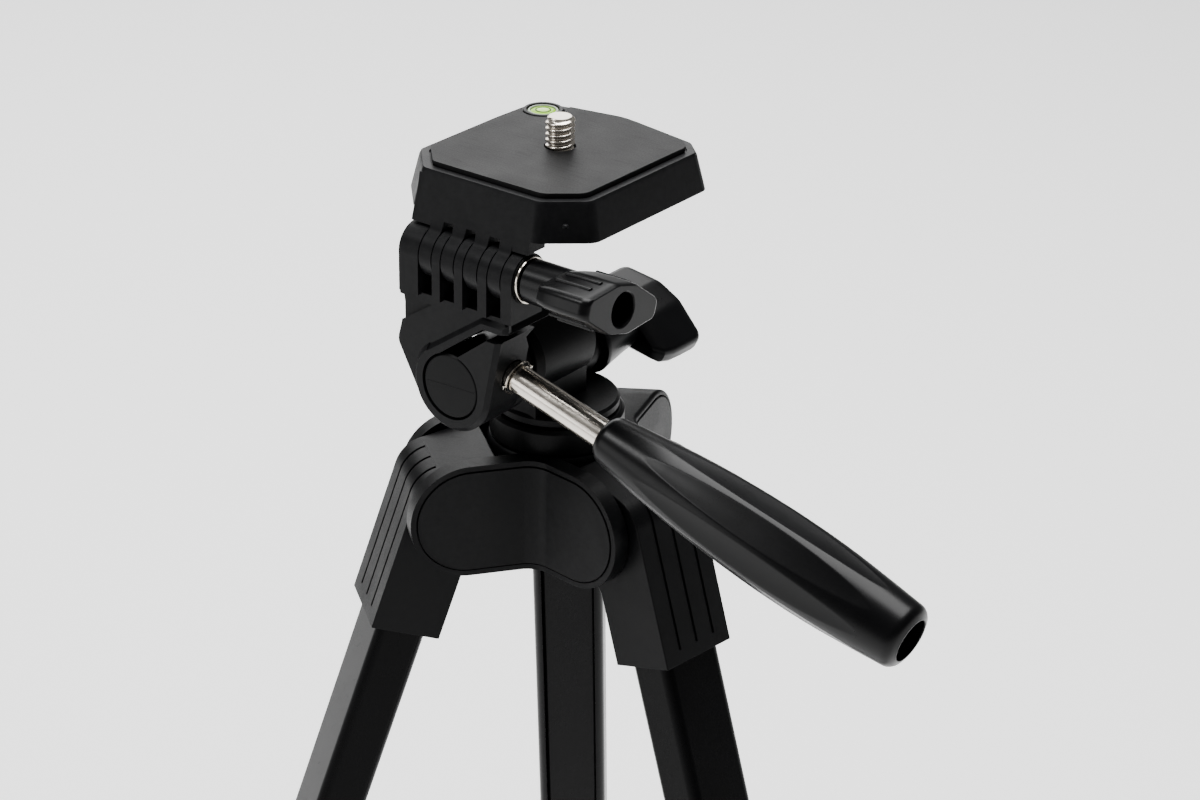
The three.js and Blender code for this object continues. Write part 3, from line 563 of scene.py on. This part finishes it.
def build_stud():
    """Quarter-inch stud: every ring's radius follows the thread's wave, and the tip tapers."""
    length = SCREW_TIP - SCREW_FOOT
    rows = int(length / THREAD_PITCH * ROWS_PER_TURN)
    rings = []
    for row in range(rows + 1):
        z = SCREW_FOOT + length * row / rows
        taper = max(0, (z - SCREW_TIP + TIP_CHAMFER) / TIP_CHAMFER)
        ring = []
        for side in range(THREAD_SIDES):
            turn = side / THREAD_SIDES
            ridge = 0.5 - 0.5 * math.cos(math.tau * (z / THREAD_PITCH - turn))
            radius = THREAD_ROOT + (THREAD_CREST - THREAD_ROOT) * ridge
            radius += (min(radius, TIP_RADIUS) - radius) * taper
            ring.append(polar(radius, math.tau * turn, z))
        rings.append(ring)
    finished(loft(rings), "stud", "mount_screw", NICKEL, HEAD, ["mount_screw"])


def build_thumb_wheel():
    corners_per_tooth = 4
    rim = []
    for index in range(WHEEL_TEETH * corners_per_tooth):
        radius = WHEEL_RADIUS - (TOOTH_DEPTH if index % corners_per_tooth > 1 else 0)
        rim.append(polar(radius, math.tau * index / (WHEEL_TEETH * corners_per_tooth)))
    wheel = cut(prism(rim, -8.4, -5.0), cylinder(3.45, -12, 0, 64))
    softened(wheel, 0.12, 2)
    finished(wheel, "thumb_wheel", "mount_screw", GLOSS, HEAD, ["screw_wheel"])


# ------------------------------------------------------------------ lock knobs
STEM_RADIUS = 4.65
# A wing's length along its stem; half of its width and thickness; where its flats begin and its tips end.
WING_DEEP, WING_HALF, WING_SIDE, WING_FLAT, WING_TIP = 14.5, 12.6, 5.3, 3.4, 2.0
WING_SLOPE = math.atan2(WING_SIDE - WING_TIP, WING_HALF - WING_FLAT)
HOLE_DEPTH, HOLE_RADIUS, HOLE_MOUTH = 9, 3.6, 3.95
FLIP_STEM, PAN_STEM = 8.4, 15.2
FLIP_RIBS = (-8.1, -5.0, 5.0, 8.1)
FLIP_TURN, PAN_LEAN = math.radians(-17), math.radians(-28)
WASHER_BORE = 2.4


def wing_knob(stem):
    """Stem and pointed-oval wing along +Z, with a deep round hole in its end."""
    tip_bend, flat_bend = 1.8, 6
    oval = rounded([
        (WING_HALF, -WING_TIP, tip_bend), (WING_HALF, WING_TIP, tip_bend),
        (WING_FLAT, WING_SIDE, flat_bend), (-WING_FLAT, WING_SIDE, flat_bend),
        (-WING_HALF, WING_TIP, tip_bend), (-WING_HALF, -WING_TIP, tip_bend),
        (-WING_FLAT, -WING_SIDE, flat_bend), (WING_FLAT, -WING_SIDE, flat_bend)], 10)
    end = stem + WING_DEEP
    wing = scaled_stack(oval, [
        (stem - 0.2, 0.74, 0.62), (stem + 0.3, 0.8, 0.74), (stem + 1.6, 0.93, 0.88),
        (stem + 4, 0.985, 0.97), (stem + 8, 1, 1), (end - 2.2, 1, 1),
        (end - 1.3, 0.99, 0.995), (end - 0.6, 0.965, 0.98), (end - 0.15, 0.925, 0.955),
        (end, 0.89, 0.925)])
    body = lathe([
        (0, 0), (STEM_RADIUS - 0.3, 0), (STEM_RADIUS, 0.3), (STEM_RADIUS, stem + 3), (0, stem + 3)])
    join(body, wing)
    softened(body, 0.3)
    hole = lathe([
        (0, end - HOLE_DEPTH), (HOLE_RADIUS, end - HOLE_DEPTH), (HOLE_RADIUS, end - 0.5),
        (HOLE_RADIUS + 0.1, end - 0.2), (HOLE_MOUTH, end), (HOLE_MOUTH, end + 1), (0, end + 1)], 64)
    return cut(body, hole)


def add_ribs(knob, places, low, high):
    """Ribs on both sides of a wing, each one tilted to lie on the wing's slope."""
    sunk = 0.35
    for face in (0, math.pi):
        for across in places:
            height = WING_SIDE - (abs(across) - WING_FLAT) * math.tan(WING_SLOPE) - sunk
            rib = softened(prism(rounded_box(1.2, 1.4, 0.35, 0, 0, 3), low, high), 0.25)
            tilt = Matrix.Rotation(-WING_SLOPE * math.copysign(1, across), 4, "Z")
            put(rib, Matrix.Rotation(face, 4, "Z") @ Matrix.Translation((across, height, 0)) @ tilt)
            join(knob, rib)


def build_flip_hinge():
    end = HINGE_RIGHT
    pin = softened(hinge_bar(2.2, HINGE_LEFT + 1, end - 0.4, 64), 0.15)
    finished(pin, "hinge_pin", "tilt_body", NICKEL, HEAD, ["flip_pin"])
    washer = cut(hinge_bar(4.95, end + 0.3, end + 1.0), hinge_bar(WASHER_BORE, end, end + 2))
    finished(softened(washer, 0.12, 2), "hinge_washer", "tilt_body", NICKEL, HEAD, ["flip_washer"])
    seal = cut(hinge_bar(5.2, end + 0.02, end + 0.28), hinge_bar(WASHER_BORE, end - 1, end + 2))
    finished(seal, "hinge_seal", "tilt_body", DARK, HEAD)
    turn = Matrix.Rotation(FLIP_TURN, 4, "X")
    place = HEAD @ Matrix.Translation((end + 1.3, FLIP.y, FLIP.z)) @ turn @ TO_X
    knob = wing_knob(FLIP_STEM)
    add_ribs(knob, FLIP_RIBS, FLIP_STEM + 3, FLIP_STEM + WING_DEEP - 2.8)
    finished(knob, "flip_wing", "flip_knob", GLOSS, place, ["flip_knob"])


# ------------------------------------------------------------------ tilt body
BOSS_RADIUS, JAW_BORE = 10.1, 7.45
# Along Y: the proud region's face, the block's own face and its back.
FRONT, FACE, BACK = -32.3, -31.4, -18.3
SHOULDER = -26.1


def tilt_outline():
    outline = rounded([
        (11.9, SHOULDER, 0.8), (-17.6, SHOULDER, 0.8), (-17.0, -30, 1), (-17.0, -34, 1), (-18.2, -38.5, 3),
        (TILT.x - 9.0, TILT.z - 4.6, 0)], 5)
    outline += arc(BOSS_RADIUS, 207, 346, TILT.x, TILT.z, 36)
    return outline + points((9.75, -31.7), (11.9, -29))


def hinge_knuckle(left, right):
    low, front, back = SHOULDER - 0.4, FLIP.y - HINGE_RADIUS + 0.02, FLIP.y + 4.6
    rib = points((front, low), (back, low), (back, FLIP.z), (front, FLIP.z))
    return join(hinge_bar(HINGE_RADIUS, left, right), along_x(rib, left, right))


def raised_border():
    """Clamp region that stands proud of the block: a strip over the slot, the boss and the jaw."""
    outline = points((11.7, -27.2), (5.0, -27.2), (-9.2, -37.2))
    outline += arc(BOSS_RADIUS, 128, 346, TILT.x, TILT.z, 40)
    outline += points((9.7, -31.8), (11.7, -29.1))
    return put(stacked(outline, [(-FACE - 0.9, 0), (-FACE, 0.1), (-FRONT + 0.1, -0.9)]), TO_Y)


def build_tilt_body():
    block = put(stacked(tilt_outline(), [(-BACK, 0), (-FACE, 0)]), TO_Y)
    waist = points((-22, -27.4), (-8.6, -28.2), (-22, -37.0))
    cut(block, put(stacked(waist, [(-FACE - 1.1, -0.9), (-FACE + 0.02, 0.1), (-FACE + 3, 0.1)]), TO_Y))
    join(block, raised_border())
    join(block, *[hinge_knuckle(left, right) for left, right in KNUCKLES])
    slot = points((20, -29.3), (5.7, -29.3), (-7.5, -39.1), (-2.4, -38.6), (6.5, -31.7), (20, -31.7))
    rod_hole = put(cylinder(3.4, -2.6, 8, 64), HEAD.inverted() @ ROD)
    back_corner = points((-17, -29.6), (-22.8, -33.2), (-21.3, -36), (-21.3, -60), (-17, -60))
    jaw = put(cylinder(JAW_BORE, -BACK - 1, -FRONT + 2), TILT_AXIS)
    cut(block, jaw, along_y(slot, FRONT - 2, BACK + 1), rod_hole, along_x(back_corner, 5, 20),
        hinge_bar(HINGE_BORE, HINGE_LEFT + 0.6, 20, 48))
    softened(block, 0.3)
    finished(block, "clamp_body", "tilt_body", BLACK, HEAD, ["tilt_body"])


def build_tilt_axle():
    place = HEAD @ TILT_AXIS
    root, radius, end = 14.0, 7.2, -FRONT - 0.1
    axle = lathe([
        (0, root), (radius, root), (radius, end - 0.45), (radius - 0.35, end - 0.05), (radius - 0.6, end),
        (0, end)])
    finished(axle, "axle_end", "pan_base", SATIN, place, ["tilt_axle"])
    line = prism(rounded_box(13.0, 0.12, 0.05), end - 0.1, end + 0.05)
    put(line, Matrix.Rotation(math.radians(2.5), 4, "Z"))
    finished(line, "axle_mould_line", "pan_base", SATIN, place)


# ------------------------------------------------------------------ handle
GRIP_START, GRIP_LENGTH = 25.3, 78
GRIP_SIDES, GRIP_ROWS, GRIP_EDGE = 224, 168, 2.2
FLUTES, FLUTE_START, FLUTE_END, FLUTE_DEPTH, FLUTE_WIDTH = 8, 13, 70, 0.62, 0.43
# Bare radius of the grip along its length; the first and the last station only steer the curve.
GRIP_STATIONS = (
    (-8, 3.4), (0, 4.95), (9, 6.2), (18, 7.35), (28, 8.3), (38, 8.85), (48, 9.0), (58, 8.65), (68, 7.8),
    (78, 6.9), (88, 6.2))


def eased(share, first, last, rise_in, rise_out):
    """Smooth curve between two values that starts and ends with the given rises."""
    square, cube = share ** 2, share ** 3
    return (first * (2 * cube - 3 * square + 1) + rise_in * (cube - 2 * square + share)
            + last * (3 * square - 2 * cube) + rise_out * (cube - square))


def grip_radius(along):
    spans = zip(GRIP_STATIONS, GRIP_STATIONS[1:], GRIP_STATIONS[2:], GRIP_STATIONS[3:])
    for before, (start, first), (end, last), after in spans:
        if along <= end:
            break
    share = (along - start) / (end - start)
    return eased(share, first, last, (last - before[1]) / 2, (after[1] - first) / 2)


def grip_ring(along):
    """Outline of the grip at one place, rounded off at both ends, with flutes that fade in and out."""
    end_gap = min(along, GRIP_LENGTH - along)
    bare = grip_radius(along) - GRIP_EDGE
    bare += math.sqrt(max(0, GRIP_EDGE ** 2 - max(0, GRIP_EDGE - end_gap) ** 2))
    share = (along - FLUTE_START) / (FLUTE_END - FLUTE_START)
    reach = max(0, 4 * share * (1 - share))
    width = FLUTE_WIDTH * math.sqrt(reach)
    ring = []
    for side in range(GRIP_SIDES):
        offset = (side / GRIP_SIDES * FLUTES + 0.5) % 1 - 0.5
        radius = bare
        if abs(offset) < width:
            radius -= FLUTE_DEPTH * reach * (1 - (offset / width) ** 2)
        ring.append(polar(radius, math.tau * side / GRIP_SIDES, along))
    return ring


def build_rod():
    low, high = 1.5, 1.9
    washer = cut(cylinder(3.95, low, high), cylinder(3.6, 1, 3))
    for turn in (0.2, math.pi + 0.2):
        lug = prism(rounded_box(1.1, 0.8, 0.2, 0, 4.15, 3), low, high + 0.05)
        join(washer, put(lug, Matrix.Rotation(turn, 4, "Z")))
    finished(softened(washer, 0.08, 2), "rod_lug_washer", "tilt_body", NICKEL, ROD, ["rod_washer"])
    rod = lathe([(0, -2.2), (2.8, -2.2), (3.1, -1.9), (3.1, 44), (0, 44)])
    finished(rod, "rod", "handle", NICKEL, ROD, ["handle_rod"])


def build_grip():
    """One skin: up the bore for the rod, along the fluted outside, and down the hole in the end."""
    centre = 0.02
    rod_bore = [(centre, 20), (3.4, 20), (3.4, 0.2)]
    end_hole = [(4.9, GRIP_LENGTH), (4.7, GRIP_LENGTH - 0.25), (4.6, GRIP_LENGTH - 12),
                (centre, GRIP_LENGTH - 12)]
    rings = [circle(radius, z, GRIP_SIDES) for radius, z in rod_bore]
    rings += [grip_ring(GRIP_LENGTH * row / GRIP_ROWS) for row in range(GRIP_ROWS + 1)]
    rings += [circle(radius, z, GRIP_SIDES) for radius, z in end_hole]
    place = ROD @ Matrix.Translation((0, 0, GRIP_START))
    finished(loft(rings), "grip", "handle", GLOSS, place, ["handle_grip"])


# ------------------------------------------------------------------ pan base
LOCK_Z = -51.7
POST_RADIUS, POST_BORE = 6, 6.3


def build_pan_base():
    barrel = lathe([(0, -5.6), (9.1, -5.6), (9.6, -5.1), (9.6, 12.3), (8.3, 13.7), (0, 13.7)])
    pillar = box((TILT.x - 7.4, -12.9, -57.5), (TILT.x + 7.4, 4.8, TILT.z))
    disc = lathe([(0, -59.2), (13.3, -59.2), (13.6, -58.9), (13.6, -57.6), (13.1, -57.0), (0, -57.0)])
    boss = put(cylinder(5.2, -11.7, 0), Matrix.Translation((TILT.x, 0, LOCK_Z)) @ TO_Y)
    body = join(put(barrel, TILT_AXIS), pillar, disc, boss, cylinder(POST_RADIUS, -76, -58, 64))
    softened(body, 0.4)
    finished(body, "pan_housing", "pan_base", BLACK, HEAD, ["pan_base"])


def build_pan_knob():
    """Wing knob that points along +Y, with a conical skirt round its stem."""
    across, up = math.cos(PAN_LEAN), math.sin(PAN_LEAN)
    turn = Matrix(((-across, -up, 0, 0), (0, 0, 1, 0), (-up, across, 0, 0), (0, 0, 0, 1)))
    place = HEAD @ Matrix.Translation((TILT.x, 12.3, LOCK_Z)) @ turn
    skirt = lathe([
        (0, 1.5), (6.0, 1.5), (6.5, 1.75), (6.65, 2.3), (6.5, 3.1), (5.9, 6.6), (5.3, 10.5), (4.9, 14),
        (0, 14)])
    finished(join(wing_knob(PAN_STEM), skirt), "pan_wing", "pan_knob", GLOSS, place, ["pan_knob"])


# ------------------------------------------------------------------ hub
PIVOTS = [head_point(joints[f"leg_fold_{leg}"]["pos_m"]) for leg in LEGS]
LEG_ANGLES = [math.atan2(pivot.y, pivot.x) for pivot in PIVOTS]
PIVOT_RADIUS, PIVOT_Z = math.hypot(PIVOTS[-1].x, PIVOTS[-1].y), PIVOTS[-1].z
PIVOT_BORE = 2.6
HUB_RADIUS, HUB_BOTTOM = 13.3, -92.5
# Distances from a leg's middle plane to the faces of its cheeks and of their covers.
CHEEK_INNER, CHEEK_OUTER, COVER_BACK, COVER_OUTER = 10.3, 14.2, 13.0, 14.4
RIM_RADIUS, POCKET_RADIUS, COVER_RADIUS = 13.1, 11.9, 11.55
LOBE_Z, LOBE_LEAD, LOBE_LAG = -78.7, 0.8, 3.2
# Turn of each cheek's outer face away from its second leg; the first cheek is wedge-shaped.
CHEEK_FLARES = (math.radians(16.5), 0, 0)


def beside_leg(angle, along, beside):
    return Vector((along * math.cos(angle) - beside * math.sin(angle),
                   along * math.sin(angle) + beside * math.cos(angle)))


def next_angle(index):
    """Heading of the following leg, always larger than this one's."""
    return LEG_ANGLES[index] + (LEG_ANGLES[(index + 1) % 3] - LEG_ANGLES[index]) % math.tau


def cheek_face(index, offset, flare=0):
    """Corners of an upright face: beside one leg, round the bend, and beside the next leg or off it."""
    reach = 45
    one, two = LEG_ANGLES[index], next_angle(index) - flare
    bend = offset / math.sin((two - one) / 2)
    return [beside_leg(one, reach, offset), beside_leg((one + two) / 2, bend, 0),
            beside_leg(two, reach, -offset)]


def lobe_across(angle, span, centre, radius):
    outline = points((0, LOBE_Z - radius)) + arc(radius, -90, 90, centre, LOBE_Z, 40)
    outline += points((0, LOBE_Z + radius))
    return put(along_y(outline, *span), Matrix.Rotation(angle, 4, "Z"))


def cheek(index, inner_face, outer_face, radius):
    """Two lobes joined round the bend; the first one reaches further out than the second."""
    corners = outer_face + inner_face[::-1]
    outline = rounded([(corner.x, corner.y, bend) for corner, bend in zip(corners, (0, 6, 0, 0, 6, 0))], 10)
    one = lobe_across(LEG_ANGLES[index], (2, 22), PIVOT_RADIUS + LOBE_LEAD, radius)
    two = lobe_across(next_angle(index), (-27, -2), PIVOT_RADIUS - LOBE_LAG, radius)
    return common(prism(outline, -105, -60), join(one, two))


def plate(index, back, front, radius):
    """Cheek-shaped plate between two distances on the outer side."""
    flare = CHEEK_FLARES[index]
    return cheek(index, cheek_face(index, back, flare), cheek_face(index, front, flare), radius)


def pivot_bar(index, radius, half):
    place = Matrix.Translation((PIVOT_RADIUS, 0, PIVOT_Z)) @ TO_Y
    return put(cylinder(radius, -half, half, 48), Matrix.Rotation(LEG_ANGLES[index], 4, "Z") @ place)


def build_hub_body():
    body = lathe([
        (0, HUB_BOTTOM), (HUB_RADIUS - 0.5, HUB_BOTTOM), (HUB_RADIUS, HUB_BOTTOM + 0.5),
        (HUB_RADIUS, -68.4), (0, -68.4)])
    join(body, lathe([(0, -68.6), (15.2, -68.6), (15.2, -66.6), (14.8, -65.9), (0, -65.9)]))
    for index, flare in enumerate(CHEEK_FLARES):
        faces = cheek_face(index, CHEEK_INNER), cheek_face(index, CHEEK_OUTER, flare)
        rim = softened(cheek(index, *faces, RIM_RADIUS), 0.9, 4)
        join(body, cut(rim, plate(index, COVER_BACK - 0.2, CHEEK_OUTER + 2, POCKET_RADIUS)))
    cut(body, cylinder(POST_BORE, -78, -60, 64), cylinder(4, HUB_BOTTOM - 1, HUB_BOTTOM + 4, 48))
    cut(body, *[pivot_bar(index, PIVOT_BORE, 15) for index in range(3)])
    finished(body, "hub_moulding", "hub", BLACK, HEAD, ["hub_body"])


def build_cheek_covers():
    for index, leg in enumerate(LEGS):
        cover = softened(plate(index, COVER_BACK, COVER_OUTER, COVER_RADIUS), 0.3, 4)
        finished(cover, f"cheek_face_{leg}", "hub", BLACK, HEAD, [f"cheek_cover_{leg}"])
        pin = softened(pivot_bar(index, 2.3, COVER_BACK - 0.5), 0.3, 2)
        finished(pin, f"pivot_pin_{leg}", "hub", NICKEL, HEAD, [f"leg_pin_{leg}"])


def build_nut_and_collar():
    corners = 6
    nut = lathe([
        (0, HUB_BOTTOM - 2.9), (5, HUB_BOTTOM - 2.9), (5.6, HUB_BOTTOM - 2.3), (5.6, HUB_BOTTOM - 0.3),
        (0, HUB_BOTTOM - 0.3)], corners)
    join(nut, cylinder(3.4, HUB_BOTTOM - 2, HUB_BOTTOM + 3.5, 48))
    finished(softened(nut, 0.2, 2), "bottom_nut", "hub", NICKEL, HEAD, ["hub_nut"])
    collar = lathe([(0, -65.6), (14.55, -65.6), (14.75, -65.4), (14.75, -60.4), (14.0, -59.6), (0, -59.6)])
    cut(collar, cylinder(POST_BORE, -70, -50, 64))
    finished(softened(collar, 0.25, 3), "collar", "hub", SATIN, HEAD, ["pan_collar"])


# ------------------------------------------------------------------ legs
# Every tube of a leg is centred this far out from the leg's pivot; top and end are heights along the leg.
CENTRE = 5.3
Tube = namedtuple("Tube", "width depth corner wall slot top end")
Lock = namedtuple("Lock", "width depth top end")
UPPER = Tube(width=16.8, depth=11.2, corner=2.2, wall=1.1, slot=12.6, top=-8.4, end=-248)
MIDDLE = Tube(width=13.8, depth=8.2, corner=1.6, wall=1.0, slot=0, top=-20, end=-281)
LOWER = Tube(width=11.2, depth=5.6, corner=1.2, wall=1.0, slot=4, top=-32, end=-306)
UPPER_LOCK = Lock(width=21.2, depth=15.6, top=-232, end=-262)
LOWER_LOCK = Lock(width=18, depth=12.6, top=-265, end=-293)
PLAY = 0.3
LOCK_CENTRE = CENTRE + 0.6
SOCKET_FACE, SOCKET_HALF, SOCKET_END = 13, 9.9, -30.5
GROOVE_PLACES, GROOVE_WIDTH, GROOVE_DEPTH = (-5.2, 0, 5.2), 0.7, 0.4
LEVER_GRIPS, GRIP_SPACING = 5, 1.5
FOOT_RIBS = (-312, -309.5, -307)


def shoulder_path(inset):
    """Outer face of a socket from its foot, over the rounded shoulder, to the tongue's tip."""
    face = SOCKET_FACE - inset
    shoulder = (face, 5.4 - inset * 0.6, 8 - inset)
    return rounded([(face, SOCKET_END, 0), shoulder, (-1.9, 14.5 - inset, 0)], 16)


def groove(across):
    """Cutter for a shallow groove that runs up the outer face and over the shoulder."""
    start = SOCKET_END + 3
    deep = points((SOCKET_FACE - GROOVE_DEPTH, start)) + shoulder_path(GROOVE_DEPTH)[1:-1]
    clear = points((SOCKET_FACE + 1, start)) + [point + Vector((1, 1)) for point in shoulder_path(0)[1:-1]]
    return along_x(deep + clear[::-1], across - GROOVE_WIDTH / 2, across + GROOVE_WIDTH / 2)


def build_socket(leg, place):
    overrun = SOCKET_END - 2
    outline = shoulder_path(0)[1:-1] + points((-1.4, 14.3), (-1.9, 14.1), (-3.2, 10.6))
    outline += arc(8, 118, 205, 0, 0, 16)
    outline += points((-2.8, -14), (-2.8, overrun), (SOCKET_FACE, overrun))
    body = softened(along_x(outline, -SOCKET_HALF, SOCKET_HALF), 1.0, 4)
    cut(body, box((-20, -20, SOCKET_END - 4), (20, 30, SOCKET_END)))
    cut(body, prism(rounded_box(17.4, 11.8, 2.5, 0, CENTRE), SOCKET_END - 1, -8),
        put(cylinder(PIVOT_BORE, -20, 20, 48), TO_X))
    cut(body, *[groove(across) for across in GROOVE_PLACES])
    softened(body, 0.15, 2)
    finished(body, f"socket_{leg}", f"leg_{leg}", BLACK, place, [f"leg_socket_{leg}"])


def channel(tube):
    """Rounded channel with turned-in lips, open along its inner side."""
    width, depth, corner, wall, slot, top, end = tube
    body = prism(rounded_box(width, depth, corner, 0, CENTRE, 8), end, top)
    inside = rounded_box(width - 2 * wall, depth - 2 * wall, max(0.8, corner - wall), 0, CENTRE, 8)
    cut(body, prism(inside, end - 1, top + 1))
    if slot:
        opening = rounded_box(slot, 4 * wall, 0.3, 0, CENTRE - depth / 2, 3)
        cut(body, prism(opening, end - 1, top + 1))
    return softened(body, 0.2, 2)


def bore(tube):
    """Outline of a hole that a tube slides in."""
    return rounded_box(tube.width + 2 * PLAY, tube.depth + 2 * PLAY, tube.corner + PLAY, 0, CENTRE)


def lock_housing(lock, outer, inner):
    """Sleeve at the end of one tube that guides the next one, with a recess for its lever."""
    width, depth, top, end = lock
    edge, half_line = 0.8, 0.3
    outline = rounded_box(width, depth, 4, 0, LOCK_CENTRE)
    body = stacked(outline, [(end, -edge), (end + edge, 0), (top - edge, 0), (top, -edge)])
    face = LOCK_CENTRE + depth / 2
    recess = rounded_box(width, 4, 0.2, -3, face, 2)
    cut(body, prism(bore(outer), outer.end - PLAY, top + 1), prism(bore(inner), end - 1, top + 1),
        prism(recess, end + 4.5, top - 4.5))
    line = rounded_box(width + 1, 0.6, 0.2, 0, face + 0.1, 2)
    cut(body, *[prism(line, z - half_line, z + half_line) for z in (end + 2.2, top - 2.2)])
    return softened(body, 0.35, 3)


def lock_lever(lock):
    """Flat lever in its housing's recess, with a grooved grip at its free end."""
    width, depth, top, end = lock
    face, left = LOCK_CENTRE + depth / 2, -width / 2
    right = width / 2 - 3.3
    low, high = end + 4.8, top - 4.8
    outline = rounded([
        (right, face - 1.6, 0.8), (right, face + 1.5, 1.4), (left - 1.2, face + 1.5, 1.2),
        (left - 1.2, face - 0.2, 0.4), (left + 0.6, face - 1.6, 0.6)], 8)
    body = prism(outline, low, high)
    places = [left + 1.2 + index * GRIP_SPACING for index in range(LEVER_GRIPS)]
    cut(body, *[prism(rounded_box(0.6, 0.8, 0.2, x, face + 1.6, 3), low + 3, high - 3) for x in places])
    return softened(body, 0.3, 3)


def build_foot(leg, place):
    """Ribbed rubber foot, cut flat where it stands on the ground."""
    outline = rounded_box(15.4, 11, 4.5, 0, CENTRE, 8)
    levels = [(-337, 0.6), (-313, 0.6)]
    for z in FOOT_RIBS:
        levels += [(z, 0.6), (z + 0.3, 0.0), (z + 0.9, 0.0), (z + 1.2, 0.5)]
    levels += [(-303, -0.5), (-298, -0.9), (-297, -1.4)]
    body = cut(stacked(outline, levels), prism(bore(LOWER), LOWER.end - 0.3, -290))
    below = Matrix.Translation((place.translation.x, place.translation.y, 0)) @ Matrix.Scale(MM, 4)
    cut(body, put(prism(rounded_box(300, 300, 1), -50, 0), place.inverted() @ below))
    softened(body, 0.25, 2)
    finished(body, f"rubber_foot_{leg}", f"lower_leg_{leg}", FOOT_RUBBER, place, [f"foot_{leg}"])


def build_leg(leg):
    place = leg_frame(leg)
    build_socket(leg, place)
    for part, body, tube in (("upper", "leg", UPPER), ("middle", "middle_leg", MIDDLE),
                             ("lower", "lower_leg", LOWER)):
        finished(channel(tube), f"tube_{part}_{leg}", f"{body}_{leg}", TUBE, place, [f"{part}_tube_{leg}"])
    for part, body, lock, outer, inner in (("upper", "leg", UPPER_LOCK, UPPER, MIDDLE),
                                           ("lower", "middle_leg", LOWER_LOCK, MIDDLE, LOWER)):
        finished(lock_housing(lock, outer, inner), f"housing_{part}_{leg}", f"{body}_{leg}", BLACK, place,
                 [f"{part}_lock_{leg}"])
    for part, lock in (("upper", UPPER_LOCK), ("lower", LOWER_LOCK)):
        finished(lock_lever(lock), f"lever_{part}_{leg}", f"{part}_lever_{leg}", GLOSS, place,
                 [f"{part}_lever_{leg}"])
    build_foot(leg, place)


# ------------------------------------------------------------------ stage
# Each light: name, place beside the target as the camera sees it, size in metres and power in watts.
LIGHTS = (
    ("top", (0.1, 0.25, 1.3), 1.1, 46), ("back", (-0.35, 1.35, 0.75), 1.2, 18),
    ("key", (-0.9, -0.23, 1.05), 0.3, 7), ("left", (-1.1, -0.4, 0.14), 0.5, 2.5))
WORLD_STRENGTH = 0.18
# The camera looks along +Y turned by this angle, and down by the pitch.
VIEW_TURN, VIEW_PITCH, VIEW_ROLL = math.radians(37.02), math.radians(25.56), math.radians(1.0)
VIEW_OFFSET = (0.00928, -0.58874, 0.22278)
SENSOR, FOCAL_SHARE = 36.0, 2.5009


def build_floor():
    half = 4
    floor = make("floor", [(-half, -half, 0), (half, -half, 0), (half, half, 0), (-half, half, 0)],
                 [(0, 1, 2, 3)])
    material = bpy.data.materials.new("pale_floor")
    material.use_nodes = True
    shader = material.node_tree.nodes["Principled BSDF"]
    shader.inputs["Base Color"].default_value = (0.9, 0.9, 0.9, 1)
    shader.inputs["Roughness"].default_value = 0.8
    shader.inputs["Emission Color"].default_value = (1, 1, 1, 1)
    shader.inputs["Emission Strength"].default_value = 0.5
    floor.data.materials.append(material)


def build_world():
    world = bpy.data.worlds.new("studio")
    world.use_nodes = True
    background = world.node_tree.nodes["Background"]
    background.inputs["Color"].default_value = (1, 1, 1, 1)
    background.inputs["Strength"].default_value = WORLD_STRENGTH
    bpy.context.scene.world = world


def build_lights():
    target = Vector((pan_axis.x, pan_axis.y, pad_top - 0.05))
    turn = Matrix.Rotation(VIEW_TURN, 3, "Z")
    for name, offset, size, power in LIGHTS:
        data = bpy.data.lights.new(name, "AREA")
        data.size = size
        data.energy = power
        light = bpy.data.objects.new(name, data)
        bpy.context.scene.collection.objects.link(light)
        light.location = target + turn @ Vector(offset)
        light.rotation_euler = (target - light.location).to_track_quat("-Z", "Y").to_euler()


def build_camera():
    data = bpy.data.cameras.new("camera")
    data.sensor_width = SENSOR
    data.lens = SENSOR * FOCAL_SHARE
    data.clip_start = 0.02
    camera = bpy.data.objects.new("camera", data)
    bpy.context.scene.collection.objects.link(camera)
    turn = Matrix.Rotation(VIEW_TURN, 4, "Z")
    target = Matrix.Translation((pan_axis.x, pan_axis.y, pad_top))
    base = target @ turn @ Matrix.Translation(VIEW_OFFSET)
    look = Matrix.Rotation(math.pi / 2 - VIEW_PITCH, 4, "X")
    camera.matrix_world = base @ look @ Matrix.Rotation(VIEW_ROLL, 4, "Z")
    bpy.context.scene.camera = camera


build_shell()
build_pad()
build_level()
build_stud()
build_thumb_wheel()
build_flip_hinge()
build_tilt_body()
build_tilt_axle()
build_rod()
build_grip()
build_pan_base()
build_pan_knob()
build_hub_body()
build_cheek_covers()
build_nut_and_collar()
for number in LEGS:
    build_leg(number)
build_floor()
build_camera()
build_world()
build_lights()
